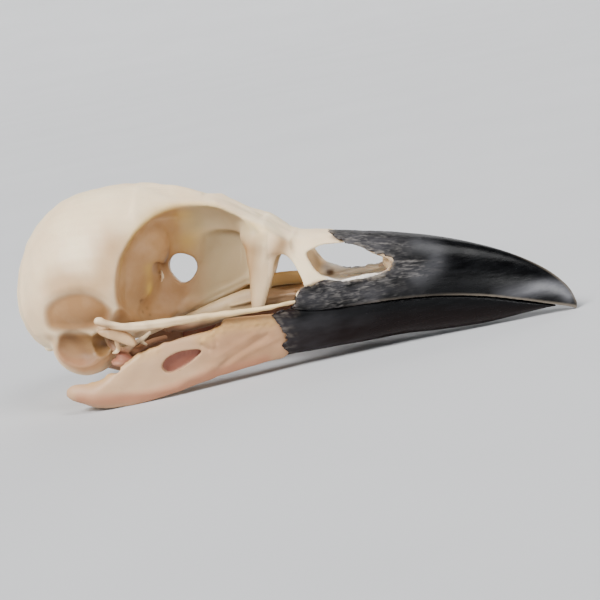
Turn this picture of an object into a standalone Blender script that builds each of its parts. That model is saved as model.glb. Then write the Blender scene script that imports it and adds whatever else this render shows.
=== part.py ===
"""Crow skull, life size, resting on the two corners of its jaw and the tip of its bill.

Lengths are in millimetres in the skull's own frame: x runs forward from the back of the
braincase, y to the animal's left, z up from the level of the bill tip. MM turns them into metres.
At the end rest_on_floor() tips the finished skull nose down until it stands on three small flats.
"""

import math

import bmesh
import bpy
import numpy as np
from mathutils import Matrix, Vector

MM = 0.001
GAP = 0.3  # left between neighbouring pieces
ROOM = 0.5  # left around the small bones that lie against the cranium

# Driving dimensions
HINGE_X = 45.2  # bending line between the frontal bone and the bill
HORN = 0.9  # thickness of the sheath over the bone, with the gap
BONE_WALL = 0.8  # bone between the sheath and the nasal cavity
SEPTUM = 0.9  # plate between the two orbits
SYMPHYSIS_X = 62.5  # where the two arms of the lower bill meet
JAW_CORNER = (20.8, -14.0)  # x and z of the skull's two rear points of rest
BILL_TIP = (92.8, 0.4)  # x and z of its front one
FLAT_DEPTH = 0.06  # how far each point of rest is worn flat

# How finely the solids are made
VOXEL = 0.34  # grid on which lumps grow together
RING_SIDES = 40
CURVE_STEPS = 5

# Sections along x: x, centre y, half width, top, level of the widest point, bottom, squareness
BRAINCASE = (
    (-0.4, 0, 1.5, 4.6, 2.4, 0.4, 2.0),
    (0.3, 0, 5.2, 8.2, 2.2, -2.4, 2.0),
    (1.7, 0, 8.8, 11.7, 2.2, -5.4, 2.0),
    (4.5, 0, 12.0, 14.7, 2.6, -7.3, 2.1),
    (8.7, 0, 14.5, 18.1, 3.4, -7.4, 2.1),
    (14.0, 0, 15.4, 19.9, 4.6, -6.8, 2.1),
    (18.5, 0, 15.0, 20.4, 6.0, -5.6, 2.1),
    (22.5, 0, 12.8, 20.1, 8.0, -4.2, 2.0),
    (26.5, 0, 9.2, 19.1, 11.0, -1.0, 2.0),
    (30.0, 0, 5.2, 18.6, 15.0, 8.0, 2.0),
)
FRONTAL = (
    (21.0, 0, 9.5, 19.6, 16.5, 10.5, 2.0),
    (25.5, 0, 6.7, 19.1, 17.6, 11.5, 2.0),
    (29.5, 0, 5.4, 18.7, 17.9, 11.5, 2.0),
    (33.5, 0, 5.9, 18.5, 17.1, 11.5, 2.2),
    (38.5, 0, 7.4, 16.3, 14.9, 10.5, 2.4),
    (42.5, 0, 8.0, 14.3, 12.8, 10.0, 2.6),
    (HINGE_X - GAP, 0, 7.4, 13.1, 11.8, 9.9, 2.8),
)
UPPER_BILL = (
    (HINGE_X, 0, 8.4, 13.0, 1.9, 1.6, 3.4),
    (50.0, 0, 7.9, 13.0, 1.5, 1.2, 3.0),
    (56.0, 0, 6.8, 12.9, 2.1, 1.8, 2.5),
    (63.0, 0, 5.75, 12.8, 3.0, 2.7, 2.2),
    (70.0, 0, 4.7, 12.2, 3.5, 3.2, 2.0),
    (77.0, 0, 3.65, 10.9, 3.35, 3.05, 1.9),
    (83.0, 0, 2.6, 9.1, 2.65, 2.35, 1.9),
    (88.0, 0, 1.65, 6.75, 1.8, 1.5, 1.9),
    (91.3, 0, 0.9, 4.1, 1.1, 0.8, 2.0),
    (92.8, 0, 0.35, 1.6, 0.8, 0.4, 2.0),
)
LOWER_BILL = (
    (41.5, 0, 9.3, 1.1, 0.8, -8.1, 5.0),
    (46.0, 0, 8.3, 1.0, 0.7, -6.9, 5.0),
    (51.0, 0, 7.4, 0.9, 0.6, -6.3, 4.5),
    (58.0, 0, 6.3, 1.7, 1.4, -5.2, 3.4),
    (64.0, 0, 5.4, 2.45, 2.15, -4.1, 2.6),
    (71.0, 0, 4.4, 2.85, 2.55, -3.3, 2.2),
    (78.0, 0, 3.35, 2.6, 2.3, -2.1, 2.0),
    (84.0, 0, 2.1, 1.8, 1.5, -0.5, 2.0),
    (88.0, 0, 1.1, 1.15, 1.0, 0.55, 2.0),
    (89.4, 0, 0.35, 1.0, 0.9, 0.8, 2.0),
)
BETWEEN_ARMS = (
    (30.0, 0, 9.5, 20, 0, -20, 2.0),
    (42.0, 0, 7.3, 20, 0, -20, 2.0),
    (52.0, 0, 5.2, 20, 0, -20, 2.0),
    (58.5, 0, 3.3, 20, 0, -20, 2.0),
    (SYMPHYSIS_X, 0, 0.6, 20, 0, -20, 2.0),
)
MANDIBLE = (
    (9.9, -12.6, 0.5, -11.7, -12.2, -12.8, 2.0),
    (11.2, -12.7, 1.2, -10.9, -12.2, -13.6, 2.0),
    (15.0, -12.8, 2.0, -10.4, -12.4, -14.5, 2.2),
    (18.5, -12.8, 1.5, -7.9, -11.3, -14.4, 2.6),
    (22.5, -12.6, 1.0, -5.5, -9.5, -13.6, 3.0),
    (28.0, -11.9, 0.9, -3.2, -7.5, -11.9, 3.0),
    (34.2, -10.4, 0.9, -1.5, -5.4, -9.7, 3.0),
    (35.6, -10.0, 0.9, -0.2, -4.6, -9.3, 3.0),
    (40.0, -8.9, 0.9, 0.2, -3.8, -7.9, 3.0),
    (46.5, -7.4, 0.9, 0.7, -2.8, -6.6, 3.0),
)
PALATINE = (
    (24.9, -2.5, 0.7, -2.6, -3.3, -4.0, 2.0),
    (29.0, -3.5, 1.9, -1.1, -2.4, -3.6, 2.0),
    (35.0, -3.9, 1.7, 1.2, -0.7, -1.8, 2.0),
    (41.0, -4.2, 1.1, 3.2, 1.4, 0.1, 2.0),
    (46.6, -4.9, 0.9, 4.0, 2.6, 1.7, 2.0),
)
VOMER = (
    (37.5, 0, 0.4, 1.6, 1.1, 0.7, 2.0),
    (42.5, 0, 0.6, 5.4, 3.2, 1.6, 2.0),
    (46.5, 0, 0.5, 6.1, 4.2, 2.6, 2.0),
)

# Bars: x, y, z, radius
JUGAL = (
    (15.4, -15.1, 0.3, 0.75),
    (18.5, -14.7, -0.5, 0.85),
    (24.0, -13.7, -0.5, 0.95),
    (33.0, -11.8, 0.6, 0.62),
    (41.0, -10.0, 1.5, 0.42),
    (46.3, -8.8, 2.3, 0.38),
)
ROSTRUM = ((19.0, 0, -3.2, 1.6), (28.0, 0, -0.4, 1.1), (34.0, 0, 2.0, 0.9), (41.0, 0, 6.0, 0.8))
POSTORBITAL = ((18.0, -13.2, 8.5, 1.0), (17.7, -13.8, 5.0, 0.9), (17.0, -14.2, 2.3, 0.45))
ZYGOMATIC = ((12.0, -13.4, -2.2, 1.2), (18.0, -13.4, -2.7, 1.0), (22.0, -13.1, -4.0, 0.7))
OTIC_PROCESS = ((16.6, -11.0, -2.4, 1.0), (18.0, -11.6, -5.2, 0.9))
ORBITAL_PROCESS = ((18.2, -11.3, -5.0, 0.8), (20.6, -9.6, -4.2, 0.55), (22.8, -8.3, -3.1, 0.35))
PTERYGOID = ((20.2, -9.5, -6.1, 0.6), (22.6, -5.9, -5.1, 0.5), (24.7, -3.1, -4.9, 0.45))

# Outlines seen from the side: x and z
SEPTUM_OUTLINE = ((21, -3), (29, -0.8), (38, 4), (43, 8), (44, 12), (36, 16), (24, 15))
SEPTUM_HOLE = ((27.6, 9.3), (25.5, 8.3), (25.2, 6.3), (27.2, 4.0), (29.3, 5.1), (29.8, 7.6))
CHEEK_WING = ((39.6, 1.5), (41.6, 1.7), (43.2, 5.4), (44.5, 10.6), (44.5, 12.3), (39.9, 12.6), (39.1, 7.0))
NOSTRIL = (
    (48.2, 9.9), (50.2, 6.9), (54.2, 5.4), (59.5, 6.6),
    (61.0, 8.6), (58.1, 10.6), (53.8, 11.8), (50.2, 11.3),
)
JAW_WINDOW = ((25.6, -7.6), (26.9, -8.5), (29.6, -7.2), (31.8, -5.1), (28.6, -5.1), (26.4, -6.2))
BEHIND_NASAL_BAR = ((38, 0), (46.6, 0), (46.8, 3.3), (48.2, 5.0), (45.3, 10.0), (42, 10.2))
BARE_BONE = (
    (40, 1.2), (46.5, 1.2), (47.2, 3.4), (50.2, 5.4), (56.0, 5.6), (60.3, 6.7),
    (62.1, 8.6), (58.0, 10.8), (53.6, 12.4), (51.8, 14), (40, 16),
)
BARE_MANDIBLE = ((5, 4), (43.1, 2.0), (42.9, 0.0), (44.6, -1.6), (45.6, -4.5), (44.2, -7.0), (5, -24))

BONE_COLOUR = (0.80, 0.72, 0.60, 1.0)
HORN_COLOUR = (0.02, 0.02, 0.025, 1.0)


# ---------------------------------------------------------------- modelling tools


def object_from(name, bm):
    """Turns a bmesh in millimetres into an object in metres, with its faces pointing out."""
    bmesh.ops.scale(bm, vec=(MM, MM, MM), verts=bm.verts)
    bmesh.ops.recalc_face_normals(bm, faces=bm.faces)
    mesh = bpy.data.meshes.new(name)
    bm.to_mesh(mesh)
    bm.free()
    made = bpy.data.objects.new(name, mesh)
    bpy.context.scene.collection.objects.link(made)
    return made


def smooth_rows(rows, steps=CURVE_STEPS):
    """Runs a smooth curve through rows of sizes, so that a shape needs only a few of them."""
    table = np.array(rows, float)
    padded = np.vstack([2 * table[0] - table[1], table, 2 * table[-1] - table[-2]])
    found = []
    for before, start, end, after in zip(padded, padded[1:], padded[2:], padded[3:]):
        for t in np.arange(steps) / steps:
            linear = (end - before) * t
            square = (2 * before - 5 * start + 4 * end - after) * t**2
            cube = (3 * start - before - 3 * end + after) * t**3
            found.append(start + 0.5 * (linear + square + cube))
    found.append(table[-1])
    return found


def rounded_ring(outline, steps=4):
    """The same smooth curve through a closed outline."""
    table = list(outline)
    curve = smooth_rows(table[-1:] + table + table[:2], steps)
    return curve[steps : steps * (len(table) + 1)]


def grown(outline, amount):
    """The same outline moved out by amount; it turns either way round."""
    around = [Vector(point) for point in outline]
    area = sum(a.x * b.y - b.x * a.y for a, b in zip(around, around[1:] + around[:1]))
    moved = []
    for before, here, after in zip(around[-1:] + around, around, around[1:] + around[:1]):
        along = ((here - before).normalized() + (after - here).normalized()).normalized()
        outward = Vector((along.y, -along.x)) * math.copysign(1, area)
        moved.append(tuple(here + outward * amount))
    return moved


def signed_power(value, exponent):
    return math.copysign(abs(value) ** exponent, value)


def section(x, centre, width, top, side, bottom, squareness):
    """A ring across x that is widest at side, with upper and lower halves of their own heights."""
    ring = []
    for index in range(RING_SIDES):
        angle = 2 * math.pi * index / RING_SIDES
        across = signed_power(math.cos(angle), 2 / squareness)
        rise = signed_power(math.sin(angle), 2 / squareness)
        height = top - side if rise > 0 else side - bottom
        ring.append((x, centre + max(width, 0.05) * across, side + height * rise))
    return ring


def bridge(rings):
    """Skins a row of rings that have the same number of points, and closes both ends."""
    bm = bmesh.new()
    made = [[bm.verts.new(point) for point in ring] for ring in rings]
    for first, second in zip(made, made[1:]):
        for index in range(len(first)):
            following = (index + 1) % len(first)
            bm.faces.new((first[index], first[following], second[following], second[index]))
    bm.faces.new(made[0])
    bm.faces.new(made[-1])
    return bm


def loft(name, rows):
    return object_from(name, bridge([section(*row) for row in smooth_rows(rows)]))


def inset(rows, depth, floor=0.0):
    """The same body with its skin moved in by depth, and its floor raised by floor."""
    return [
        (x, y, width - depth, top - depth, side + floor, bottom + floor, squareness)
        for x, y, width, top, side, bottom, squareness in rows
    ]


def rod(name, rows, grow=0.0, sides=16):
    """A round bar through rows of x, y, z and radius."""
    points = smooth_rows(rows)
    path = [Vector(row[:3]) for row in points]
    rings = []
    for index, row in enumerate(points):
        ahead = path[min(index + 1, len(path) - 1)]
        behind = path[max(index - 1, 0)]
        along = (ahead - behind).normalized()
        aside = along.cross(Vector((0, 0, 1))).normalized()
        upward = aside.cross(along)
        turns = [2 * math.pi * side / sides for side in range(sides)]
        spokes = [math.cos(turn) * aside + math.sin(turn) * upward for turn in turns]
        radius = float(row[3]) + grow
        rings.append([path[index] + radius * spoke for spoke in spokes])
    return object_from(name, bridge(rings))


def slab(name, outline, near, far, steps=4, edge=0.0):
    """A plate along y with a smoothly curved outline of x and z; steps of 1 keeps it straight.

    Its outline draws in by edge towards both ends.
    """
    rows = [(near, 0), (far, 0)]
    if edge:
        rows = [(near, edge), (near + edge, edge / 4), (far - edge, edge / 4), (far, edge)]
    rings = []
    for y, drawn_in in rows:
        ring = rounded_ring(grown(outline, -drawn_in), steps)
        rings.append([(x, y, z) for x, z in ring])
    return object_from(name, bridge(rings))


def ball(name, centre, radii, squareness=2.0, grow=0.0):
    """An ellipsoid; squareness above 2 flattens it towards both ends of its y axis."""
    bm = bmesh.new()
    bmesh.ops.create_uvsphere(bm, u_segments=40, v_segments=24, radius=1)
    for vert in bm.verts:
        away, across = math.hypot(vert.co.x, vert.co.z), abs(vert.co.y)
        fullness = (away**squareness + across**squareness) ** (1 / squareness)
        reach = Vector(radii) + Vector((grow, grow, grow))
        vert.co = Vector(centre) + reach * vert.co / fullness
    return object_from(name, bm)


def box(name, low, high):
    bm = bmesh.new()
    size = [b - a for a, b in zip(low, high)]
    middle = [(a + b) / 2 for a, b in zip(low, high)]
    bmesh.ops.create_cube(bm, size=1, matrix=Matrix.Translation(middle) @ Matrix.Diagonal((*size, 1)))
    return object_from(name, bm)


def mirror_image(source, name):
    """The same piece on the animal's other side."""
    bm = bmesh.new()
    bm.from_mesh(source.data)
    bmesh.ops.scale(bm, vec=(1 / MM, -1 / MM, 1 / MM), verts=bm.verts)
    return object_from(name, bm)


def both_sides(*pieces):
    return [*pieces, *(mirror_image(piece, piece.name + " left") for piece in pieces)]


def settle(subject):
    """Replaces the object's mesh with the one that its modifiers make."""
    graph = bpy.context.evaluated_depsgraph_get()
    mesh = bpy.data.meshes.new_from_object(subject.evaluated_get(graph))
    subject.modifiers.clear()
    subject.data = mesh
    return subject


def fuse(name, pieces, voxel=VOXEL, rounding=4):
    """Grows overlapping closed pieces into one body and rounds the creases between them."""
    bm = bmesh.new()
    for piece in pieces:
        bm.from_mesh(piece.data)
        bpy.data.objects.remove(piece)
    mesh = bpy.data.meshes.new(name)
    bm.to_mesh(mesh)
    bm.free()
    made = bpy.data.objects.new(name, mesh)
    bpy.context.scene.collection.objects.link(made)
    grow = made.modifiers.new("Grow together", "REMESH")
    grow.mode = "VOXEL"
    grow.voxel_size = voxel * MM
    smooth = made.modifiers.new("Round", "SMOOTH")
    smooth.factor = 0.5
    smooth.iterations = rounding
    return settle(made)


def carve(subject, cutters, operation="DIFFERENCE"):
    """Cuts every cutter out of the subject, or keeps only what they hold with INTERSECT."""
    for cutter in cutters:
        cut = subject.modifiers.new("Carve " + cutter.name, "BOOLEAN")
        cut.operation = operation
        cut.solver = "EXACT"
        cut.object = cutter
    settle(subject)
    for cutter in cutters:
        bpy.data.objects.remove(cutter)
    return subject


def thin_out(subject, triangles):
    """Lowers the mesh to about that many triangles, keeping most of them where it bends."""
    bm = bmesh.new()
    bm.from_mesh(subject.data)
    bmesh.ops.triangulate(bm, faces=bm.faces)
    count = len(bm.faces)
    bm.to_mesh(subject.data)
    bm.free()
    fewer = subject.modifiers.new("Thin out", "DECIMATE")
    fewer.ratio = min(1.0, triangles / count)
    return settle(subject)


# ---------------------------------------------------------------- the bones


def quadrate_lumps(grow=0.0):
    return [
        rod("Otic process", OTIC_PROCESS, grow),
        rod("Orbital process", ORBITAL_PROCESS, grow),
        ball("Quadrate body", (18.2, -11.7, -5.7), (1.4, 1.4, 1.6), grow=grow),
        ball("Jaw condyles", (17.2, -12.2, -7.2), (1.7, 2.1, 0.8), grow=grow),
    ]


def small_bones_grown():
    """The bones that lie against the cranium, each larger by the gap."""
    return both_sides(
        *quadrate_lumps(ROOM),
        rod("Pterygoid space", PTERYGOID, ROOM),
        rod("Jugal space", JUGAL, ROOM),
        loft("Palatine space", inset(PALATINE, -ROOM, floor=-ROOM)),
    )


def cranium():
    """Braincase, roof between the eyes, septum and cheek wings: one bone in a grown bird."""
    head = fuse("cranium", [loft("Braincase", BRAINCASE), loft("Frontal", FRONTAL)])
    orbit = ball("Orbit", (31.2, -SEPTUM / 2 - 12.6, 6.0), (12.6, 12.6, 12.6), squareness=3)
    orbit_floor = ball("Orbit floor", (25.5, -15.0, -1.6), (8.2, 7.5, 6.0))
    temple = ball("Temporal fossa", (12.2, -18.6, 0.4), (7.6, 5.2, 4.6))
    head = carve(head, both_sides(orbit, orbit_floor, temple))
    lumps = [
        ball("Brain", (12.6, 0, 7.4), (11.6, 12.4, 11.4)),
        slab("Septum", SEPTUM_OUTLINE, -SEPTUM / 2, SEPTUM / 2),
        rod("Rostrum", ROSTRUM),
        ball("Occipital condyle", (5.0, 0, -7.4), (1.1, 0.9, 1.0)),
        slab("Cheek wings", CHEEK_WING, -8.1, 8.1, edge=0.8),
    ]
    lumps += both_sides(
        rod("Zygomatic process", ZYGOMATIC),
        ball("Tympanic bulge", (12.2, -8.3, -4.8), (5.3, 5.2, 5.4)),
        rod("Postorbital process", POSTORBITAL),
    )
    head = fuse("cranium", [head, *lumps])
    ear = ball("Ear", (12.4, -15.4, -3.7), (4.8, 3.4, 2.2))
    front_hollow = ball("Cheek hollow in front", (45.0, -3.9, 6.4), (3.2, 2.6, 4.6), squareness=3)
    rear_hollow = ball("Cheek hollow behind", (38.0, -3.9, 6.4), (2.9, 2.6, 5.0), squareness=3)
    carve(head, both_sides(ear, front_hollow, rear_hollow))
    carve(head, [*small_bones_grown(), loft("Vomer space", inset(VOMER, -ROOM, floor=-ROOM))])
    carve(head, [ball("Foramen magnum", (1.6, 0, -6.4), (3.4, 2.9, 2.6))])
    return carve(thin_out(head, 3300), [slab("Septum hole", SEPTUM_HOLE, -3, 3, steps=3)])


def upper_jaw():
    """Bone of the upper bill: bare behind the nostril and inside the sheath in front of it."""
    bare = loft("Bare bone", UPPER_BILL)
    carve(bare, [slab("Bare window", BARE_BONE, -12, 12)], "INTERSECT")
    core_rows = [row for row in inset(UPPER_BILL, HORN, floor=HORN) if row[0] < 70]
    jaw = fuse("upper_jaw", [bare, loft("Core", core_rows)], rounding=2)
    cavity_rows = [row for row in inset(UPPER_BILL, HORN + BONE_WALL, floor=3.4) if row[0] < 64]
    cavity_rows[0] = (38.0, *cavity_rows[0][1:])
    cutters = [
        loft("Nasal cavity", cavity_rows),
        slab("Cheek opening", BEHIND_NASAL_BAR, -12, 12, steps=2),
        box("Hinge", (30, -12, -5), (HINGE_X + GAP / 2, 12, 20)),
    ]
    thin_out(carve(jaw, cutters), 1200)
    return carve(jaw, [slab("Nostrils", NOSTRIL, -12, 12, steps=3)])


def upper_sheath():
    """Horn over the bill, open behind along the edge of the bare bone."""
    horn = loft("upper_sheath", UPPER_BILL)
    core_rows = [row for row in inset(UPPER_BILL, HORN - GAP, floor=HORN - GAP) if row[0] < 70]
    core_rows[-1] = (core_rows[-1][0] + GAP, *core_rows[-1][1:])
    core_rows[0] = (HINGE_X - 5, *core_rows[0][1:])
    cutters = [
        loft("Core space", core_rows),
        slab("Bare bone space", grown(BARE_BONE, GAP), -12, 12, steps=2),
    ]
    return thin_out(carve(horn, cutters), 1200)


def lower_sheath():
    """Horn over the lower bill, in the shape of a Y, with its arms open between them."""
    horn = loft("lower_sheath", LOWER_BILL)
    cutters = [
        loft("Between the arms", BETWEEN_ARMS),
        slab("Bare mandible space", grown(BARE_MANDIBLE, GAP), -12, 12, steps=1),
    ]
    return thin_out(carve(horn, cutters), 1000)


def mandible():
    ramus = loft("mandible_right", MANDIBLE)
    carve(ramus, [slab("Bare mandible", BARE_MANDIBLE, -20, 0, steps=1)], "INTERSECT")
    return carve(thin_out(ramus, 400), [slab("Jaw window", JAW_WINDOW, -20, 0, steps=3)])


def paired(right, triangles=None):
    """Names the two pieces of a pair, and makes the left one."""
    if triangles:
        thin_out(right, triangles)
    return [right, mirror_image(right, right.name.replace("right", "left"))]


def material(name, colour, roughness):
    made = bpy.data.materials.new(name)
    made.use_nodes = True
    shader = made.node_tree.nodes["Principled BSDF"]
    shader.inputs["Base Color"].default_value = colour
    shader.inputs["Roughness"].default_value = roughness
    return made


def rest_on_floor(parts):
    """Tips the skull onto its three points of rest, and puts the middle of its box over the origin."""
    (jaw_x, jaw_z), (tip_x, tip_z) = JAW_CORNER, BILL_TIP
    tilt = Matrix.Rotation(math.atan2(tip_z - jaw_z, tip_x - jaw_x), 4, "Y")
    for part in parts:
        part.data.transform(tilt)
    corners = np.array([vert.co for part in parts for vert in part.data.vertices])
    low, high = corners.min(axis=0), corners.max(axis=0)
    floor = low[2] + FLAT_DEPTH * MM
    shift = Matrix.Translation((-(low[0] + high[0]) / 2, -(low[1] + high[1]) / 2, -floor))
    for part in parts:
        part.data.transform(shift)
        if min(vert.co.z for vert in part.data.vertices) < 0:
            carve(part, [box("Floor", (-80, -40, -5), (80, 40, 0))])


def main():
    for old in list(bpy.data.objects):
        bpy.data.objects.remove(old)
    horn = [upper_sheath(), lower_sheath()]
    bones = [cranium(), upper_jaw(), *paired(mandible()), *paired(rod("jugal_right", JUGAL), 200)]
    bones += paired(fuse("quadrate_right", quadrate_lumps(), voxel=0.2, rounding=2), 320)
    bones += paired(rod("pterygoid_right", PTERYGOID), 90)
    bones += paired(loft("palatine_right", PALATINE), 220)
    bones.append(thin_out(loft("vomer", VOMER), 120))
    rest_on_floor(horn + bones)
    skull = bpy.data.collections.new("Crow skull")
    bpy.context.scene.collection.children.link(skull)
    bone, keratin = material("Bone", BONE_COLOUR, 0.45), material("Keratin", HORN_COLOUR, 0.3)
    for part in horn + bones:
        part.data.materials.clear()
        part.data.materials.append(keratin if part in horn else bone)
        part.data.set_sharp_from_angle(angle=math.radians(40))
        skull.objects.link(part)
        bpy.context.scene.collection.objects.unlink(part)


main()
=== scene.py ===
"""Looks of the crow skull: fine bone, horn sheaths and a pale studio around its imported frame.

The bones are worked in millimetres in the skull's own frame: x runs forward from the back of the
braincase, y to the animal's left, z up from the level of the bill tip. Clay holds a bone as a field
of distances, in which lumps are added and hollows cut, and cast() turns it into a mesh. The mesh is
then carved, painted and moved to where the frame holds the skull.
"""

import math
from functools import partial, reduce

import bpy
import numpy as np
from bpy.props import FloatProperty, FloatVectorProperty, PointerProperty
from bpy.types import Operator, Panel, PropertyGroup
from mathutils import Matrix, Vector


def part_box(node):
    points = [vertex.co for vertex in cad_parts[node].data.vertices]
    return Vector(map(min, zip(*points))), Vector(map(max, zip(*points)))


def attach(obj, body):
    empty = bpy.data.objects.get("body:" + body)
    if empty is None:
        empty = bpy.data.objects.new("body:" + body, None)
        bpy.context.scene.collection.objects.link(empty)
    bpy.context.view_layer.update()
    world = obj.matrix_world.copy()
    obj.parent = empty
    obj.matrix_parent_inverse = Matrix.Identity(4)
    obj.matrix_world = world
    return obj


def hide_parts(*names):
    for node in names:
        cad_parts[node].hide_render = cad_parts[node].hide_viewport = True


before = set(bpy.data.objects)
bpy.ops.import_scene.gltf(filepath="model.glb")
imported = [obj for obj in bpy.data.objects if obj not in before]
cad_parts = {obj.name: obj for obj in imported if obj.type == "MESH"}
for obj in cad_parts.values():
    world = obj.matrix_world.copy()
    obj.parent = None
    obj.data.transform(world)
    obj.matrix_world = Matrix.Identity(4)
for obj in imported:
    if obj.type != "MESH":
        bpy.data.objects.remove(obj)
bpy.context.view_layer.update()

bl_info = {
    "name": "Crow skull",
    "version": (1, 0, 0),
    "blender": (4, 5, 0),
    "location": "3D View > Sidebar > Crow skull",
    "description": "Bones, horn sheaths and studio of a life-size crow skull",
    "category": "Object",
}

MM = 0.001
FAR = 50.0  # distance given to empty space before anything is added
MOST_FACES = 96000  # quads in one piece, which is 192,000 triangles

# Driving dimensions, as in the frame
HINGE_X = 45.2  # bending line between the frontal bone and the bill
HORN = 0.6  # thickness of the sheath over the bone
BONE_WALL = 0.9  # bone between the sheath and the nasal cavity
PALATE_DEPTH = 1.9  # from the lower edge of the upper bill up to the bone in it
NASAL_DEPTH = 3.4  # from the same edge up to the nasal cavity
SEPTUM = 0.8  # plate between the two orbits
SYMPHYSIS_X = 62.5  # where the two arms of the lower bill meet
JAW_CORNER = (20.8, -14.0)  # x and z of the skull's two rear points of rest
BILL_TIP = (92.8, 0.4)  # x and z of its front one
FLAT_DEPTH = 0.045  # how far the points of rest are worn flat
THROUGH = (-12, 12)  # y of an opening that passes right through the skull
TEMPLE = (0.9, 9.0)  # depth of the temple's hollow, and how far from the middle plane it starts

# The photo's camera, about the skull's own frame
CAMERA_TARGET = (47.0, 0.0, 1.2)
CAMERA_DISTANCE = 300.0
CAMERA_RISE = math.radians(11.0)
CAMERA_TURN = math.radians(4.0)
CAMERA_LENS = 108.0
CAMERA_SENSOR = 36.0

# Sections along x: x, centre y, half width, top, level of the widest point, bottom, squareness
BRAINCASE = (
    (0.0, 0, 1.5, 4.5, 2.4, 0.4, 2.0),
    (0.7, 0, 5.2, 7.9, 2.2, -2.2, 2.0),
    (2.1, 0, 8.8, 11.3, 2.2, -5.2, 2.0),
    (4.8, 0, 12.0, 14.4, 2.6, -7.1, 2.1),
    (8.8, 0, 14.5, 17.8, 3.4, -7.4, 2.1),
    (14.0, 0, 15.4, 19.7, 4.6, -6.8, 2.1),
    (18.5, 0, 15.0, 20.3, 6.0, -5.6, 2.1),
    (22.5, 0, 12.8, 19.95, 8.0, -4.2, 2.0),
    (26.5, 0, 9.2, 19.0, 11.0, -1.0, 2.0),
    (30.0, 0, 5.2, 18.6, 15.0, 8.0, 2.0),
)
FRONTAL = (
    (21.0, 0, 9.5, 19.6, 16.5, 10.5, 2.0),
    (25.5, 0, 6.7, 19.1, 17.6, 11.5, 2.0),
    (29.5, 0, 5.4, 18.7, 17.9, 12.4, 2.0),
    (33.5, 0, 5.9, 18.5, 17.1, 13.0, 2.2),
    (38.5, 0, 6.5, 16.3, 14.9, 12.4, 2.3),
    (41.0, 0, 7.5, 14.85, 13.6, 11.2, 2.4),
    (43.2, 0, 7.9, 13.6, 12.4, 10.1, 2.5),
    (45.8, 0, 7.2, 12.7, 11.4, 10.0, 2.6),
)
UPPER_BILL = (
    (HINGE_X, 0, 8.4, 13.0, 1.55, 1.2, 3.4),
    (50.0, 0, 7.9, 13.0, 1.2, 0.85, 3.0),
    (56.0, 0, 6.8, 12.9, 1.8, 1.5, 2.5),
    (63.0, 0, 5.75, 12.8, 2.7, 2.4, 2.2),
    (70.0, 0, 4.7, 12.2, 3.2, 2.9, 2.0),
    (77.0, 0, 3.65, 10.9, 3.05, 2.75, 1.9),
    (83.0, 0, 2.6, 9.1, 2.35, 2.1, 1.9),
    (88.0, 0, 1.65, 6.75, 1.6, 1.3, 1.9),
    (91.3, 0, 0.9, 4.1, 1.1, 0.8, 2.0),
    (92.8, 0, 0.35, 1.6, 0.8, 0.4, 2.0),
)
LOWER_BILL = (
    (41.5, 0, 9.3, 1.2, 0.9, -8.1, 5.0),
    (46.0, 0, 8.3, 1.15, 0.85, -6.9, 6.0),
    (51.0, 0, 7.4, 1.1, 0.8, -6.3, 4.5),
    (58.0, 0, 6.3, 1.9, 1.6, -5.2, 3.4),
    (64.0, 0, 5.4, 2.65, 2.35, -4.1, 2.6),
    (71.0, 0, 4.4, 3.05, 2.75, -3.3, 2.2),
    (78.0, 0, 3.35, 2.8, 2.5, -2.1, 2.0),
    (84.0, 0, 2.1, 2.0, 1.7, -0.5, 2.0),
    (88.0, 0, 1.1, 1.3, 1.1, 0.55, 2.0),
    (89.4, 0, 0.35, 1.0, 0.9, 0.8, 2.0),
)
BETWEEN_EDGES = tuple(  # hollow of the palate, which takes the edges of the lower bill
    (x, 0, max(width - 0.7, 0.2) * 0.98, bottom + 1.2, bottom - 2.0, bottom - 6.0, 3.0)
    for x, _, width, _, _, bottom, _ in UPPER_BILL[:-1]
)
LOWER_EDGES = tuple(  # the part of the lower bill that stands up inside the upper one
    (x, 0, 0.86 * width - 0.1, top + 0.6, top - 0.6, top - 1.4, 3.0)
    for x, _, width, top, _, _, _ in LOWER_BILL[1:7]
)
BETWEEN_ARMS = (
    (30.0, 0, 9.5, 20, 0, -20, 2.0),
    (42.0, 0, 7.3, 20, 0, -20, 2.0),
    (52.0, 0, 5.2, 20, 0, -20, 2.0),
    (58.5, 0, 3.3, 20, 0, -20, 2.0),
    (SYMPHYSIS_X, 0, 0.6, 20, 0, -20, 2.0),
)
MANDIBLE = (
    (9.9, -12.6, 0.5, -11.7, -12.2, -12.8, 2.0),
    (11.2, -12.7, 1.2, -10.9, -12.2, -13.6, 2.0),
    (15.0, -12.8, 2.0, -10.4, -12.4, -14.5, 2.2),
    (18.5, -12.8, 1.5, -7.9, -11.3, -14.4, 2.6),
    (22.5, -12.6, 1.0, -5.5, -9.5, -13.6, 3.0),
    (28.0, -11.9, 0.9, -3.2, -7.5, -11.9, 3.0),
    (34.2, -10.4, 0.9, -1.5, -5.4, -9.7, 3.0),
    (35.6, -10.0, 0.9, -0.2, -4.6, -9.3, 3.0),
    (40.0, -8.85, 0.85, 0.2, -3.8, -8.1, 3.0),
    (43.0, -7.9, 0.8, 0.4, -3.3, -7.4, 3.0),
    (45.0, -7.25, 0.75, 0.4, -3.0, -6.9, 3.0),
    (46.5, -6.4, 0.5, 0.3, -2.4, -5.0, 3.0),
)
PALATINE = (
    (24.9, -2.5, 0.7, -2.6, -3.3, -4.0, 2.0),
    (29.0, -3.1, 1.6, -0.6, -2.4, -3.6, 2.2),
    (32.0, -3.0, 1.6, 0.9, -1.4, -2.8, 2.4),
    (35.0, -3.0, 1.6, 2.2, -0.6, -1.8, 2.6),
    (38.0, -3.2, 1.5, 3.4, 0.6, -0.8, 2.6),
    (41.0, -4.0, 1.2, 3.8, 1.5, 0.1, 2.0),
    (46.6, -4.9, 0.9, 4.0, 2.6, 1.7, 2.0),
)
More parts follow.
